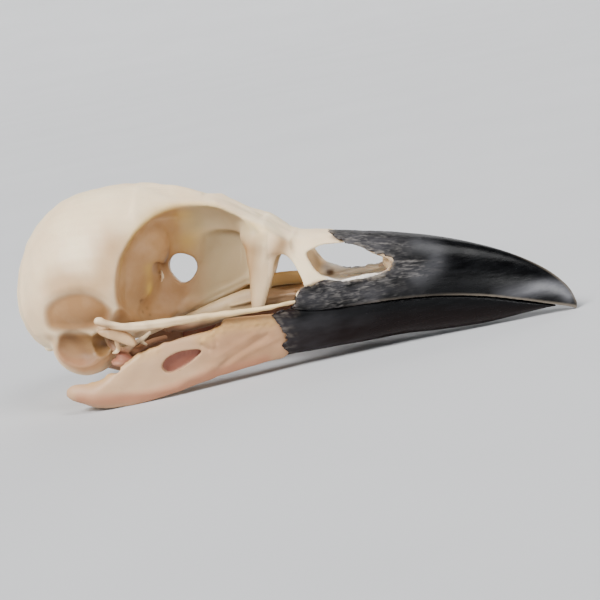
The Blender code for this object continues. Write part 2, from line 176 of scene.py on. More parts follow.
VOMER = (
    (37.5, 0, 0.4, 1.6, 1.1, 0.7, 2.0),
    (42.0, 0, 0.6, 5.5, 4.4, 3.4, 3.0),
    (50.0, 0, 0.5, 6.4, 5.2, 4.2, 3.0),
)
PALATE_SHELF = ((40.5, 2.4), (43.0, 3.5), (50.0, 4.3), (50.0, 3.7), (43.5, 2.9), (41.0, 1.9))

# Bars: x, y, z and radius
JUGAL = (
    (15.6, -15.1, 0.2, 0.6),
    (18.5, -14.7, -0.6, 0.65),
    (21.0, -14.2, -0.8, 0.72),
    (24.5, -13.6, -0.5, 0.78),
    (33.0, -11.8, 0.6, 0.58),
    (41.0, -10.0, 1.5, 0.42),
    (44.4, -8.9, 2.05, 0.36),
    (47.0, -7.5, 2.4, 0.3),
    (49.5, -6.9, 2.7, 0.28),
)
ROSTRUM = ((19.0, 0, -3.2, 1.6), (28.0, 0, -0.4, 1.0), (34.0, 0, 2.0, 0.7), (41.0, 0, 6.0, 0.6))
POSTORBITAL = ((18.0, -13.2, 8.5, 1.0), (17.7, -13.8, 5.0, 0.9), (17.0, -14.2, 2.3, 0.45))
OTIC_PROCESS = ((16.4, -10.4, -2.4, 0.9), (17.0, -10.8, -4.2, 0.7), (18.6, -11.4, -5.6, 0.8))
ORBITAL_PROCESS = (
    (19.6, -11.2, -5.2, 0.6), (20.6, -9.9, -4.5, 0.45), (21.9, -8.9, -3.8, 0.4), (22.9, -8.2, -3.0, 0.3),
)
ORBITAL_FORK = ((21.4, -9.3, -4.1, 0.35), (22.4, -8.6, -4.9, 0.25))
EAR_HOOK = (
    (18.3, -13.4, -3.6, 0.4),
    (18.6, -13.1, -4.5, 0.42),
    (18.2, -12.9, -5.2, 0.4),
    (17.5, -12.8, -5.5, 0.22),
)
PALATINE_CREST = (
    (36.0, -4.6, 1.0, 0.25), (40.5, -5.3, 2.3, 0.28), (44.1, -5.5, 2.95, 0.25), (48.5, -5.8, 3.5, 0.25),
)
NOSTRIL_RIDGE = ((53.4, -3.6, 5.0, 0.25), (56.5, -3.7, 5.6, 0.4), (60.0, -3.2, 6.4, 0.3))
SLIVER = ((24.1, -2.5, 6.5, 0.18), (24.35, -2.5, 5.4, 0.32), (24.15, -2.4, 4.4, 0.16))
MEDIAL_PROCESS = ((15.8, -12.2, -12.4, 1.3), (15.4, -10.2, -12.1, 0.9), (15.2, -8.5, -11.7, 0.5))
PTERYGOID = ((20.2, -9.5, -6.1, 0.6), (22.6, -5.9, -5.1, 0.5), (24.7, -3.1, -4.9, 0.45))

# Outlines seen from the side: x and z
SEPTUM_OUTLINE = ((21, -3), (29, -0.8), (38, 4), (43, 8), (44, 12), (36, 16), (24, 15))
SEPTUM_HOLE = (
    (27.6, 9.1), (26.1, 8.7), (25.2, 7.3), (25.5, 5.7), (27.0, 4.0), (28.6, 4.4), (29.8, 6.2), (29.4, 8.2),
)
CHEEK_WING = (
    (39.8, 0.9), (41.3, 0.9), (42.1, 3.2), (42.9, 6.5), (43.6, 9.9), (44.4, 12.3), (42.0, 13.6),
    (39.4, 12.2), (39.2, 7.0),
)
NOSTRIL = (
    (48.5, 9.9), (50.0, 7.5), (51.6, 6.35), (54.2, 5.75), (57.4, 6.1), (60.2, 6.8),
    (61.7, 7.7), (61.8, 8.9), (59.2, 9.9), (56.8, 11.0), (54.0, 11.55), (51.0, 11.3), (49.2, 10.7),
)
ZYGOMATIC = (
    (15.6, -0.9), (18.4, -1.1), (20.5, -2.1), (21.5, -3.3), (21.4, -4.0), (20.2, -3.9), (18.2, -3.2),
    (16.4, -2.6), (15.0, -1.8),
)
JAW_WINDOW = ((25.6, -7.6), (26.9, -8.5), (29.6, -7.2), (31.8, -5.1), (28.6, -5.1), (26.4, -6.2))
TEMPLE_OUTLINE = (
    (7.0, -1.7), (6.5, 1.0), (7.7, 3.0), (10.3, 4.6), (13.8, 5.0), (16.2, 3.8), (17.6, 1.9), (17.0, -0.8),
    (13.5, -1.9), (9.8, -2.2),
)
BEHIND_NASAL_BAR = ((38, 0), (46.6, 0), (46.8, 3.3), (48.2, 5.0), (45.3, 10.0), (42, 10.2))
BARE_BONE = (
    (40, 0.6), (46.0, 1.0), (46.9, 3.2), (48.3, 4.9), (50.1, 5.6), (52.0, 5.95), (54.4, 6.0),
    (57.4, 6.2), (59.8, 6.5), (61.6, 7.2), (62.2, 8.0), (62.1, 9.0), (61.0, 9.6), (59.2, 10.0),
    (57.2, 10.85), (54.6, 11.6), (52.8, 12.2), (51.5, 13.2), (50.2, 14.6), (40, 16),
)
BARE_MANDIBLE = (
    (5, 4), (43.1, 2.0), (42.9, 0.0), (44.3, -1.6), (45.3, -3.7), (44.7, -4.8), (45.1, -6.2), (44.9, -7.5),
    (43.6, -9.5), (25, -20), (5, -24),
)


# ---------------------------------------------------------------- shapes in the clay


def fade(value, start, length):
    """0 before start, rising to 1 over length, which is negative where 0 lies beyond start."""
    return np.clip((value - start) / length, 0, 1)


def most(*values):
    """The largest of several values at each place."""
    return reduce(np.maximum, values)


def smooth_rows(rows, steps=10):
    """Runs a smooth curve through rows of sizes, so that a shape needs only a few of them."""
    table = np.array(rows, float)
    padded = np.vstack([2 * table[0] - table[1], table, 2 * table[-1] - table[-2]])
    found = []
    for before, start, end, after in zip(padded, padded[1:], padded[2:], padded[3:]):
        for t in np.arange(steps) / steps:
            linear = (end - before) * t
            square = (2 * before - 5 * start + 4 * end - after) * t**2
            cube = (3 * start - before - 3 * end + after) * t**3
            found.append(start + 0.5 * (linear + square + cube))
    found.append(table[-1])
    return np.array(found)


def rounded_ring(outline, steps=6):
    """The same smooth curve through a closed outline."""
    table = list(outline)
    curve = smooth_rows(table[-1:] + table + table[:2], steps)
    return curve[steps : steps * (len(table) + 1)]


def inset(rows, depth, floor=0.0):
    """The same body with its skin moved in by depth, and its floor raised by floor."""
    return [
        (x, y, width - depth, top - depth, side + floor, bottom + floor, squareness)
        for x, y, width, top, side, bottom, squareness in rows
    ]


class Shape:
    """A distance, negative inside, and the box that holds its surface."""

    def __init__(self, low, high, distance):
        self.low, self.high, self.distance = low, high, distance


def lump(centre, radii, squareness=2.0, lean=0.0):
    """An ellipsoid, flattened towards the ends of y by squareness above 2.

    lean tips its front down about y, in degrees.
    """
    tip = math.radians(lean)

    def distance(x, y, z):
        x, y, z = x - centre[0], y - centre[1], z - centre[2]
        x, z = x * math.cos(tip) - z * math.sin(tip), z * math.cos(tip) + x * math.sin(tip)
        a, b, c = x / radii[0], y / radii[1], z / radii[2]
        if squareness == 2:
            fullness = np.sqrt(a * a + b * b + c * c)
        else:
            fullness = ((a * a + c * c) ** (squareness / 2) + np.abs(b) ** squareness) ** (1 / squareness)
        slope = np.sqrt((a / radii[0]) ** 2 + (b / radii[1]) ** 2 + (c / radii[2]) ** 2)
        return fullness * (fullness - 1) / np.maximum(slope, 1e-4)

    reach = max(radii) if lean else radii
    return Shape(np.subtract(centre, reach), np.add(centre, reach), distance)


def loft(rows):
    """A body with a rounded section across x that changes along it."""
    table = smooth_rows(rows)
    stations = table[:, 0]

    def distance(x, y, z):
        flat = np.ravel(x)
        sizes = [np.interp(flat, stations, column).reshape(np.shape(x)) for column in table.T[1:]]
        centre, width, top, side, bottom, squareness = sizes
        height = np.where(z > side, top - side, side - bottom)
        across = np.abs(y - centre) / np.maximum(width, 0.05)
        rise = np.abs(z - side) / np.maximum(height, 0.05)
        across, rise = np.maximum(across, 1e-3), np.maximum(rise, 1e-3)
        fullness = (across**squareness + rise**squareness) ** (1 / squareness)
        slope_y = (across / fullness) ** (squareness - 1) / np.maximum(width, 0.05)
        slope_z = (rise / fullness) ** (squareness - 1) / np.maximum(height, 0.05)
        slope_x = np.gradient(fullness, flat, axis=0)
        slope = np.sqrt(slope_x**2 + slope_y**2 + slope_z**2)
        inside = (fullness - 1) / slope
        return np.maximum(inside, np.maximum(stations[0] - x, x - stations[-1]))

    low = (stations[0], (table[:, 1] - table[:, 2]).min(), table[:, 5].min())
    high = (stations[-1], (table[:, 1] + table[:, 2]).max(), table[:, 3].max())
    return Shape(low, high, distance)


def bar(rows):
    """A round bar through rows of x, y, z and radius."""
    table = smooth_rows(rows, 6)

    def distance(x, y, z):
        nearest = FAR
        for start, end in zip(table, table[1:]):
            step = end[:3] - start[:3]
            away = (x - start[0], y - start[1], z - start[2])
            share = (away[0] * step[0] + away[1] * step[1] + away[2] * step[2]) / (step @ step)
            share = np.clip(share, 0, 1)
            gone = sum((side - share * part) ** 2 for side, part in zip(away, step))
            nearest = np.minimum(nearest, np.sqrt(gone) - (start[3] + (end[3] - start[3]) * share))
        return nearest

    reach = table[:, 3].max()
    return Shape(table[:, :3].min(axis=0) - reach, table[:, :3].max(axis=0) + reach, distance)


def outline_distance(ring, x, z):
    """Distance to a closed outline in the plane of x and z, negative inside it."""
    nearest = np.full(np.broadcast(x, z).shape, FAR * FAR)
    inside = np.zeros(nearest.shape, bool)
    for (ax, az), (bx, bz) in zip(ring, np.roll(ring, -1, axis=0)):
        step_x, step_z = bx - ax, bz - az
        share = ((x - ax) * step_x + (z - az) * step_z) / max(step_x**2 + step_z**2, 1e-9)
        share = np.clip(share, 0, 1)
        gone = (x - ax - share * step_x) ** 2 + (z - az - share * step_z) ** 2
        nearest = np.minimum(nearest, gone)
        if az != bz:
            crosses = ((az > z) != (bz > z)) & (x < ax + (z - az) * step_x / step_z)
            inside ^= crosses
    return np.sqrt(nearest) * np.where(inside, -1, 1)


def plate(outline, near, far, edge=0.0):
    """A plate along y with a smoothly curved outline of x and z, and rims rounded by edge."""
    ring = rounded_ring(outline)
    middle, half = (near + far) / 2, (far - near) / 2

    def distance(x, y, z):
        around = outline_distance(ring, x, z) + edge
        across = np.abs(y - middle) - half + edge
        outside = np.sqrt(np.maximum(around, 0) ** 2 + np.maximum(across, 0) ** 2)
        return outside + np.minimum(np.maximum(around, across), 0) - edge

    low, high = ring.min(axis=0), ring.max(axis=0)
    return Shape((low[0], near, low[1]), (high[0], far, high[1]), distance)


def rippled(shape, height, length, seed):
    """The same shape with its surface moved in and out by an uneven ripple of that length."""

    def distance(x, y, z):
        return shape.distance(x, y, z) + height * ripple(x, y, z, length, seed)

    return Shape(shape.low, shape.high, distance)


def ripple(x, y, z, length, seed, waves=7):
    """A smooth uneven value near -1 to 1, made of a few waves in seeded directions."""
    draw = np.random.default_rng(seed)
    total = 0.0
    for _ in range(waves):
        along = draw.normal(size=3)
        along *= 2 * math.pi / (length * draw.uniform(0.6, 1.6) * np.linalg.norm(along))
        total = total + np.sin(along[0] * x + along[1] * y + along[2] * z + draw.uniform(0, 2 * math.pi))
    return total / math.sqrt(waves)


class Clay:
    """Bone or horn as distances on a grid, negative inside it.

    Where mirrored is set, only the right side is worked, where y is negative.
    """

    def __init__(self, low, high, cell, mirrored=True):
        self.cell, self.mirrored = cell, mirrored
        self.first = np.floor(np.array(low) / cell).astype(int)
        last = np.ceil(np.array(high) / cell).astype(int)
        if mirrored:
            last[1] = 0
        self.axes = [cell * np.arange(a, b + 1) for a, b in zip(self.first, last)]
        self.field = np.full(last - self.first + 1, FAR, np.float32)

    def near(self, shape, margin):
        """The part of the grid round the shape, and its distances there."""
        spans = []
        for axis, low, high in zip(self.axes, shape.low, shape.high):
            first, last = np.searchsorted(axis, (low - margin, high + margin))
            spans.append(slice(max(first - 1, 0), last + 1))
        parts = [axis[span] for axis, span in zip(self.axes, spans)]
        grid = np.meshgrid(*parts, indexing="ij", sparse=True)
        return tuple(spans), shape.distance(*grid).astype(np.float32)

    def add(self, *shapes, blend=0.0):
        """Adds shapes, with the crease round each filled over blend."""
        for shape in shapes:
            spans, distance = self.near(shape, blend + 3 * self.cell)
            self.field[spans] = -soft_max(-self.field[spans], -distance, blend)

    def cut(self, *shapes, blend=0.0):
        """Cuts shapes away, with their edges rounded over blend."""
        for shape in shapes:
            spans, distance = self.near(shape, blend + 3 * self.cell)
            self.field[spans] = soft_max(self.field[spans], -distance, blend)

    def join(self, other, blend=0.0):
        """Adds what another clay of the same cell holds."""
        start = other.first - self.first
        spans = tuple(slice(a, a + n) for a, n in zip(start, other.field.shape))
        self.field[spans] = -soft_max(-self.field[spans], -other.field, blend)

    def keep(self, shape, blend=0.0):
        """Cuts away all that lies outside the shape."""
        grid = np.meshgrid(*self.axes, indexing="ij", sparse=True)
        self.field = soft_max(self.field, shape.distance(*grid).astype(np.float32), blend)

    def whole(self):
        """The field of both sides, and its axes."""
        if not self.mirrored:
            return self.field, self.axes
        both = np.concatenate([self.field, self.field[:, -2::-1, :]], axis=1)
        across = self.axes[1]
        return both, [self.axes[0], np.concatenate([across, -across[-2::-1]]), self.axes[2]]

    def cast(self, name):
        """The mesh where the field passes through zero, still in millimetres."""
        field, axes = self.whole()
        places, quads = surface_net(field)
        places = places * self.cell + [axis[0] for axis in axes]
        mesh = bpy.data.meshes.new(name)
        mesh.from_pydata(places.tolist(), [], quads.tolist())
        made = bpy.data.objects.new(name, mesh)
        bpy.context.scene.collection.objects.link(made)
        smooth = made.modifiers.new("Even out", "SMOOTH")
        smooth.factor, smooth.iterations = 0.5, 2
        if len(quads) > MOST_FACES:
            thin = made.modifiers.new("Thin out", "DECIMATE")
            thin.ratio = MOST_FACES / len(quads)
        return settle(made)

    def shelter(self, places, reach):
        """How much bone stands round each place within reach, 0 on a flat face and 1 in a deep hollow."""
        field, axes = self.whole()
        solid = box_blur((field < 0).astype(np.float32), max(1, int(reach / self.cell / 1.7)))
        spots = []
        for column, axis in zip(places.T, axes):
            spots.append(np.clip(np.rint((column - axis[0]) / self.cell).astype(int), 0, len(axis) - 1))
        return np.clip(solid[tuple(spots)] * 2 - 1, -1, 1)


def soft_max(a, b, blend):
    """The larger of two fields, with the crease between them rounded over blend."""
    if blend <= 0:
        return np.maximum(a, b)
    share = np.clip(0.5 + 0.5 * (a - b) / blend, 0, 1)
    return b + (a - b) * share + blend * share * (1 - share)


def box_blur(values, radius):
    """Two box filters along each axis, which come close to a round blur."""
    width = 2 * radius + 1
    for axis in (0, 1, 2, 0, 1, 2):
        pad = [(0, 0)] * 3
        pad[axis] = (radius + 1, radius)
        total = np.cumsum(np.pad(values, pad, mode="edge"), axis=axis, dtype=float)
        total = np.moveaxis(total, axis, 0)
        values = np.moveaxis((total[width:] - total[:-width]) / width, 0, axis)
    return values


def surface_net(field):
    """One point in each cell that the surface crosses, and one quad across each crossed grid edge."""
    inside = field < 0
    corners = [(i, j, k) for i in (0, 1) for j in (0, 1) for k in (0, 1)]
    full = sum(
        inside[tuple(slice(o, n - 1 + o) for o, n in zip(corner, inside.shape))].astype(np.int8)
        for corner in corners
    )
    crossed = (full > 0) & (full < 8)
    cells = np.argwhere(crossed)
    index = np.full(crossed.shape, -1, np.int32)
    index[crossed] = np.arange(len(cells))
    total, hits = np.zeros((len(cells), 3)), np.zeros(len(cells))
    quads = []
    for axis in range(3):
        one, two = (axis + 1) % 3, (axis + 2) % 3
        for a in (0, 1):
            for b in (0, 1):
                start, end = np.zeros(3, int), np.zeros(3, int)
                start[one] = end[one] = a
                start[two] = end[two] = b
                end[axis] = 1
                first = field[tuple((cells + start).T)]
                last = field[tuple((cells + end).T)]
                cross = (first < 0) != (last < 0)
                share = np.where(cross, first / np.where(cross, first - last, 1), 0)
                total[cross] += start
                total[cross, axis] += share[cross]
                hits += cross
        before = [slice(1, -1)] * 3
        after = [slice(1, -1)] * 3
        before[axis], after[axis] = slice(0, -1), slice(1, None)
        change = inside[tuple(before)] != inside[tuple(after)]
        spots = np.argwhere(change) + [0 if k == axis else 1 for k in range(3)]
        outward = inside[tuple(spots.T)]
        ring = []
        for a, b in ((1, 1), (0, 1), (0, 0), (1, 0)):
            cell = spots.copy()
            cell[:, one] -= a
            cell[:, two] -= b
            ring.append(index[tuple(cell.T)])
        ring = np.stack(ring, axis=1)
        ring[~outward] = ring[~outward][:, ::-1]
        quads.append(ring)
    return cells + total / hits[:, None], np.concatenate(quads)


# ---------------------------------------------------------------- carving and painting a mesh


def settle(subject):
    """Replaces the object's mesh with the one that its modifiers make."""
    graph = bpy.context.evaluated_depsgraph_get()
    mesh = bpy.data.meshes.new_from_object(subject.evaluated_get(graph))
    subject.modifiers.clear()
    subject.data = mesh
    return subject


def read(mesh, what="co"):
    """The mesh's places, or its normals, in rows of x, y and z."""
    source = mesh.vertices if what == "co" else mesh.vertex_normals
    values = np.zeros(len(mesh.vertices) * 3, np.float32)
    source.foreach_get("co" if what == "co" else "vector", values)
    return values.reshape(-1, 3).astype(float)


def write(mesh, places):
    mesh.vertices.foreach_set("co", np.ascontiguousarray(places, np.float32).ravel())
    mesh.update()


def right_side(places):
    """The same places with those of the left side mirrored to the right."""
    return places * np.where(places[:, 1:2] > 0, [1, -1, 1], 1)


def closeness(places, path, width):
    """1 on a path, falling smoothly to 0 away from it. A path of one point is a spot."""
    route = np.array(path, float) if len(path) < 3 else smooth_rows(path, 6)
    nearest = np.full(len(places), FAR * FAR)
    if len(route) == 1:
        nearest = ((places - route[0]) ** 2).sum(axis=1)
    for start, end in zip(route, route[1:]):
        step = end - start
        share = np.clip((places - start) @ step / (step @ step), 0, 1)
        gone = places - start - share[:, None] * step
        nearest = np.minimum(nearest, (gone**2).sum(axis=1))
    return np.exp(-nearest / width**2)


def carve_lines(made, lines):
    """Moves the surface out along each path by its height, or in where that is negative."""
    mesh = made.data
    places, normals = read(mesh), read(mesh, "normal")
    right = right_side(places)
    push = sum(height * closeness(right, path, width) for path, width, height in lines)
    write(mesh, places + normals * push[:, None])


def even_out(made, shares, passes):
    """Smooths the mesh by a share for each of its points."""
    group = made.vertex_groups.new(name="even")
    shares = np.clip(shares, 0, 1)
    for level in np.linspace(0.1, 1, 10):
        chosen = np.flatnonzero(np.abs(shares - level) <= 0.05)
        group.add(chosen.tolist(), float(level), "REPLACE")
    smooth = made.modifiers.new("Even out", "SMOOTH")
    smooth.factor, smooth.iterations, smooth.vertex_group = 0.5, passes, "even"
    settle(made)


def carve_area(made, outline, depth, soft, reach):
    """Sinks the surface inside an outline of x and z by depth, over an edge of width soft.

    Only places further than reach from the middle plane are moved.
    """
    mesh = made.data
    places, normals = read(mesh), read(mesh, "normal")
    share = outline_share(places, outline, soft, reach)
    write(mesh, places - normals * (depth * share)[:, None])


def outline_share(places, outline, soft, reach):
    """1 inside an outline of x and z and 0 outside it, for places further than reach from the middle."""
    away = outline_distance(rounded_ring(outline), places[:, 0], places[:, 2])
    share = np.clip(0.5 - away / soft, 0, 1)
    return share * share * (3 - 2 * share) * (np.abs(places[:, 1]) > reach)


def roughen(made, height, length, seed):
    """Moves the surface in and out by an uneven ripple."""
    mesh = made.data
    places, normals = read(mesh), read(mesh, "normal")
    push = height * ripple(*places.T, length, seed)
    write(mesh, places + normals * push[:, None])


def scales(places, seed):
    """Where dry horn has lifted in long flakes: 1 on a flake and 0 between them."""
    x, y, z = places.T
    value = ripple(x / 4, y, z, 0.8, seed, waves=16)
    value = value + 0.8 * ripple(x / 3, y, z, 0.45, seed + 1, waves=16)
    return np.clip(value + 0.1, 0, 1)


def on_side(rows, path):
    """Points of x and z laid on the right side of a body of sections."""
    table = smooth_rows(rows)
    found = []
    for x, z in path:
        sizes = [np.interp(x, table[:, 0], column) for column in table.T[1:]]
        centre, width, top, side, bottom, squareness = sizes
        rise = min(abs(z - side) / (top - side if z > side else side - bottom), 0.98)
        found.append((x, centre - width * (1 - rise**squareness) ** (1 / squareness), z))
    return found


def paint(made, **marks):
    """Keeps each mark, one value or a value for each point, for the material to read."""
    for name, values in marks.items():
        values = np.broadcast_to(np.clip(values, 0, 1), len(made.data.vertices))
        layer = made.data.attributes.new(name, "FLOAT", "POINT")
        layer.data.foreach_set("value", np.ascontiguousarray(values, np.float32))


def strokes(right, marks):
    """The strongest of several painted marks: path, width and strength."""
    value = np.zeros(len(right))
    for path, width, strength in marks:
        value = np.maximum(value, strength * closeness(right, path, width))
    return value


def skull_to_frame():
    """Turns the skull's own millimetres into the frame's metres, tipped as it rests."""
    (jaw_x, jaw_z), (tip_x, tip_z) = JAW_CORNER, BILL_TIP
    tilt = Matrix.Rotation(math.atan2(tip_z - jaw_z, tip_x - jaw_x), 4, "Y")
    front = tilt @ Vector((UPPER_BILL[-1][0], 0, UPPER_BILL[-1][3]))
    low = tilt @ Vector((tip_x, 0, tip_z))
    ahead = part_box("upper_sheath")[1].x
    shift = Matrix.Translation((ahead - front.x * MM, 0, -(low.z + FLAT_DEPTH) * MM))
    return shift @ tilt @ Matrix.Diagonal((MM, MM, MM, 1))


def finish_piece(made, slot, *nodes):
    """Moves a finished piece into the frame, gives it its material, hangs it on the root body and hides the
    CAD parts that it stands for.
    """
    mesh = made.data
    mesh.transform(skull_to_frame())
    places = read(mesh)
    places[:, 2] = np.maximum(places[:, 2], 0)
    write(mesh, places)
    mesh.shade_smooth()
    mesh.materials.clear()
    mesh.materials.append(bone_material() if slot == "bone" else horn_material())
    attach(made, "root")
    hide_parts(*nodes)


# ---------------------------------------------------------------- materials


def linear(code):
    """An sRGB hex colour as linear red, green, blue and alpha."""
    parts = [int(code[k : k + 2], 16) / 255 for k in (1, 3, 5)]
    return (*(p / 12.92 if p <= 0.04045 else ((p + 0.055) / 1.055) ** 2.4 for p in parts), 1.0)


def colour(name, default, description):
    """A colour that a user would change."""
    return FloatVectorProperty(
        name=name, description=description, default=linear(default), size=4, min=0, max=1, subtype="COLOR"
    )


def set_inputs(node, inputs):
    """Sets inputs of a node by name or number, or links those whose value is a socket."""
    for key, value in inputs.items():
        if isinstance(value, bpy.types.NodeSocket):
            node.id_data.links.new(value, node.inputs[key])
        else:
            node.inputs[key].default_value = value


def add_node(tree, kind, inputs=(), output=0, **settings):
    """Adds a shader node with its settings and links, and gives one of its outputs."""
    made = tree.nodes.new("ShaderNode" + kind)
    for name, value in settings.items():
        setattr(made, name, value)
    set_inputs(made, dict(inputs))
    return made.outputs[output]


def new_material(name):
    """An empty material, and a way to add nodes to it."""
    material = bpy.data.materials.new(name)
    material.use_nodes = True
    return material, partial(add_node, material.node_tree)


def dress(material, tone, layers, inputs):
    """Lays colours over tone, each by its share, and gives the shader its other inputs."""
    tree = material.node_tree
    for share, tint in layers:
        tone = add_node(tree, "Mix", {0: share, 6: tone, 7: tint}, 2, data_type="RGBA")
    set_inputs(tree.nodes["Principled BSDF"], {"Base Color": tone, **inputs})
    return material


# In the materials, sizes of patterns are in millimetres. A MapRange node takes a value (0), the range
# that it comes in (1, 2) and the range that it goes to (3, 4), which is 0 to 1 where it isn't given.


def bone_material():
    """Dry cleaned bone: matt ivory with fine pores, and tan where grease stays in its hollows and where
    shade is painted in them.
    """
    name = "Dry cleaned bone"
    if name in bpy.data.materials:
        return bpy.data.materials[name]
    look = bpy.context.scene.crow_skull_colours
    material, add = new_material(name)
    place = add("TexCoord", output="Object")
    cloud, patches, grain = (
        add("TexNoise", {"Vector": place, "Scale": 1 / (size * MM), "Detail": detail})
        for size, detail in ((9.0, 3.0), (3.0, 3.0), (0.5, 4.0))
    )
    # Real pores are near 0.1 mm and too fine to show, so they are drawn 0.55 mm apart
    pores = add("TexVoronoi", {"Vector": place, "Scale": 1 / (0.55 * MM)}, "Distance")
    hollow = add("Attribute", output="Fac", attribute_name="hollow")
    uneven = add("MapRange", {0: patches, 1: 0.3, 2: 0.7, 3: 0.92, 4: 1.06})
    layers = [
        (add("MapRange", {0: cloud, 1: 0.35, 2: 0.7}), look.cream),
        (add("Math", {0: hollow, 1: uneven}, operation="MULTIPLY"), look.tan),
    ]
    for mark in ("pale", "brown", "yellow", "pink", "grey", "red"):
        share = add("Attribute", output="Fac", attribute_name=mark)
        layers.append((share, getattr(look, mark)))
    layers.append((add("MapRange", {0: grain, 1: 0.62, 2: 0.8, 4: 0.2}), look.tan))
    dents = add("MapRange", {0: pores, 2: 0.35})
    height = add("Math", {0: dents, 1: grain}, operation="ADD")
    return dress(material, look.ivory, layers, {
        "Roughness": add("MapRange", {0: cloud, 1: 0.3, 2: 0.7, 3: 0.42, 4: 0.58}),
        "Normal": add("Bump", {"Height": height, "Strength": 0.15, "Distance": 0.05 * MM}),
        "IOR": 1.54,
        "Specular IOR Level": 0.3,
        "Subsurface Weight": 0.12,
        "Subsurface Radius": (0.9, 0.6, 0.35),
        "Subsurface Scale": 1.2 * MM,
    })


def horn_material():
    """Bill keratin: blue-black, polished towards the tip with painted sheen there, chalky and scaly where
    it has dried.
    """
    name = "Bill keratin"
    if name in bpy.data.materials:
        return bpy.data.materials[name]
    look = bpy.context.scene.crow_skull_colours
    material, add = new_material(name)
    place = add("TexCoord", output="Object")
    marks = ("rough", "brown", "chalk", "worn", "edge")
    rough, brown, chalk, worn, edge = (
        add("Attribute", output="Fac", attribute_name=mark) for mark in marks
    )
    grains = []  # streaks, flakes and clouds of dried horn, all drawn out along the bill
    for size, detail, stretch in ((0.7, 5.0, 6.0), (0.3, 6.0, 7.0), (2.2, 3.0, 2.5)):
        drawn_out = add("Mapping", {"Vector": place, "Scale": (1 / stretch, 1, 1)})
        noise = {"Vector": drawn_out, "Scale": 1 / (size * MM), "Detail": detail}
        grains.append(add("TexNoise", noise))
    streaks, flakes, cloud = grains
    patches = add("MapRange", {0: cloud, 1: 0.35, 2: 0.65})
    scale = add("MapRange", {0: flakes, 1: 0.4, 2: 0.68})
    # streaks that break up the painted sheen
    sheen_streaks = add("MapRange", {0: streaks, 1: 0.3, 2: 0.7, 3: 0.75})
    lifted = add("Math", {0: rough, 1: flakes}, operation="MULTIPLY")
    height = add("Math", {0: streaks, 1: lifted}, operation="ADD")
    polish = add("MapRange", {0: streaks, 1: 0.3, 2: 0.7, 3: 0.2, 4: 0.32})
    dried = add("Math", {0: rough, 1: 0.4}, operation="MULTIPLY")
    layers = (
        (add("MapRange", {0: streaks, 1: 0.35, 2: 0.75}), look.horn_light),
        (brown, look.horn_brown),
        (add("Math", {0: rough, 1: patches}, operation="MULTIPLY"), look.horn_dull),
        (add("Math", {0: chalk, 1: scale}, operation="MULTIPLY"), look.chalk),
        (add("Math", {0: worn, 1: sheen_streaks}, operation="MULTIPLY"), look.worn),
        (edge, look.edge),
    )
    return dress(material, look.horn, layers, {
        "Roughness": add("Math", {0: polish, 1: dried}, operation="ADD"),
        "Normal": add("Bump", {"Height": height, "Strength": 0.3, "Distance": 0.1 * MM}),
        "IOR": 1.55,
        "Specular IOR Level": 0.12,
    })


def card_material():
    """Matt studio card, with faint clouds so that it doesn't look flat."""
    look = bpy.context.scene.crow_skull_colours
    material, add = new_material("Matt studio card")
    place = add("TexCoord", output="Object")
    cloud = add("TexNoise", {"Vector": place, "Scale": 1 / (60.0 * MM), "Detail": 3.0})
    share = add("MapRange", {0: cloud, 1: 0.3, 2: 0.7})
    return dress(material, look.floor, [(share, look.floor_shade)], {"Roughness": 0.85})


# ---------------------------------------------------------------- the pieces


# The right half of the head: what is added to its bone
HINDBRAIN = lump((3.9, 0, 2.0), (3.7, 4.8, 5.6))
BRAIN = lump((12.8, 0, 7.3), (11.2, 12.3, 11.2))
FOREBRAIN = lump((19.8, -3.9, 10.6), (5.8, 5.6, 5.3))
SEPTUM_ROOT = lump((25.2, 0, 14.0), (6.8, 1.6, 6.2))
WING_TOP = lump((40.2, -4.6, 12.7), (2.6, 3.4, 2.2))
WING_BACK = lump((39.8, -3.0, 10.2), (1.3, 4.4, 3.6))
EAR_WALL = lump((12.4, -8.1, -4.8), (5.6, 5.0, 5.4))
SKULL_BASE = lump((12.5, 0, -6.6), (6.5, 5.5, 1.6))
ROSTRUM_ROOT = lump((22.0, -2.0, -2.9), (3.4, 3.2, 1.5), lean=-18)
ZYGOMATIC_PROCESS = plate(ZYGOMATIC, -14.5, -12.7, edge=0.55)  # pointed, in front of the ear
EAR_FRONT = (ZYGOMATIC_PROCESS, bar(EAR_HOOK))
NECK_KNOB = lump((4.7, 0, -7.3), (1.0, 0.95, 0.9))
NOSTRIL_FRONT = lump((62.9, -0.8, 8.4), (2.2, 3.4, 2.0))
NOSTRIL_KNOBS = (lump((58.6, -5.0, 6.1), (1.0, 0.7, 0.6)), lump((57.0, -4.9, 5.8), (0.6, 0.5, 0.5)))

# The right half of the head: what is cut from its bone
ORBIT = lump((31.2, -SEPTUM / 2 - 12.6, 6.0), (12.6, 12.6, 12.6), squareness=3)
ORBIT_FLOOR = lump((25.5, -15.0, -1.6), (8.2, 7.5, 6.0))
EAR = lump((11.5, -15.4, -5.2), (5.6, 4.8, 3.6), lean=4)
EAR_HOLE = lump((15.6, -12.6, -4.4), (1.9, 3.0, 1.9))
BEFORE_WING = lump((45.2, -3.9, 6.4), (3.2, 2.6, 4.6), squareness=3)
BEHIND_WING = lump((38.3, -4.4, 3.4), (2.6, 2.3, 3.4))
CORD_OPENING = lump((2.4, 0, -5.0), (3.6, 2.7, 2.4), lean=-48)  # faces down and back
BRAIN_SPACE = lump((5.2, 0, -2.6), (3.2, 2.9, 2.9))  # as far as it is seen through its opening
NERVE_SLIT = lump((24.1, -5.2, 6.6), (0.75, 3.6, 2.0), lean=-10)


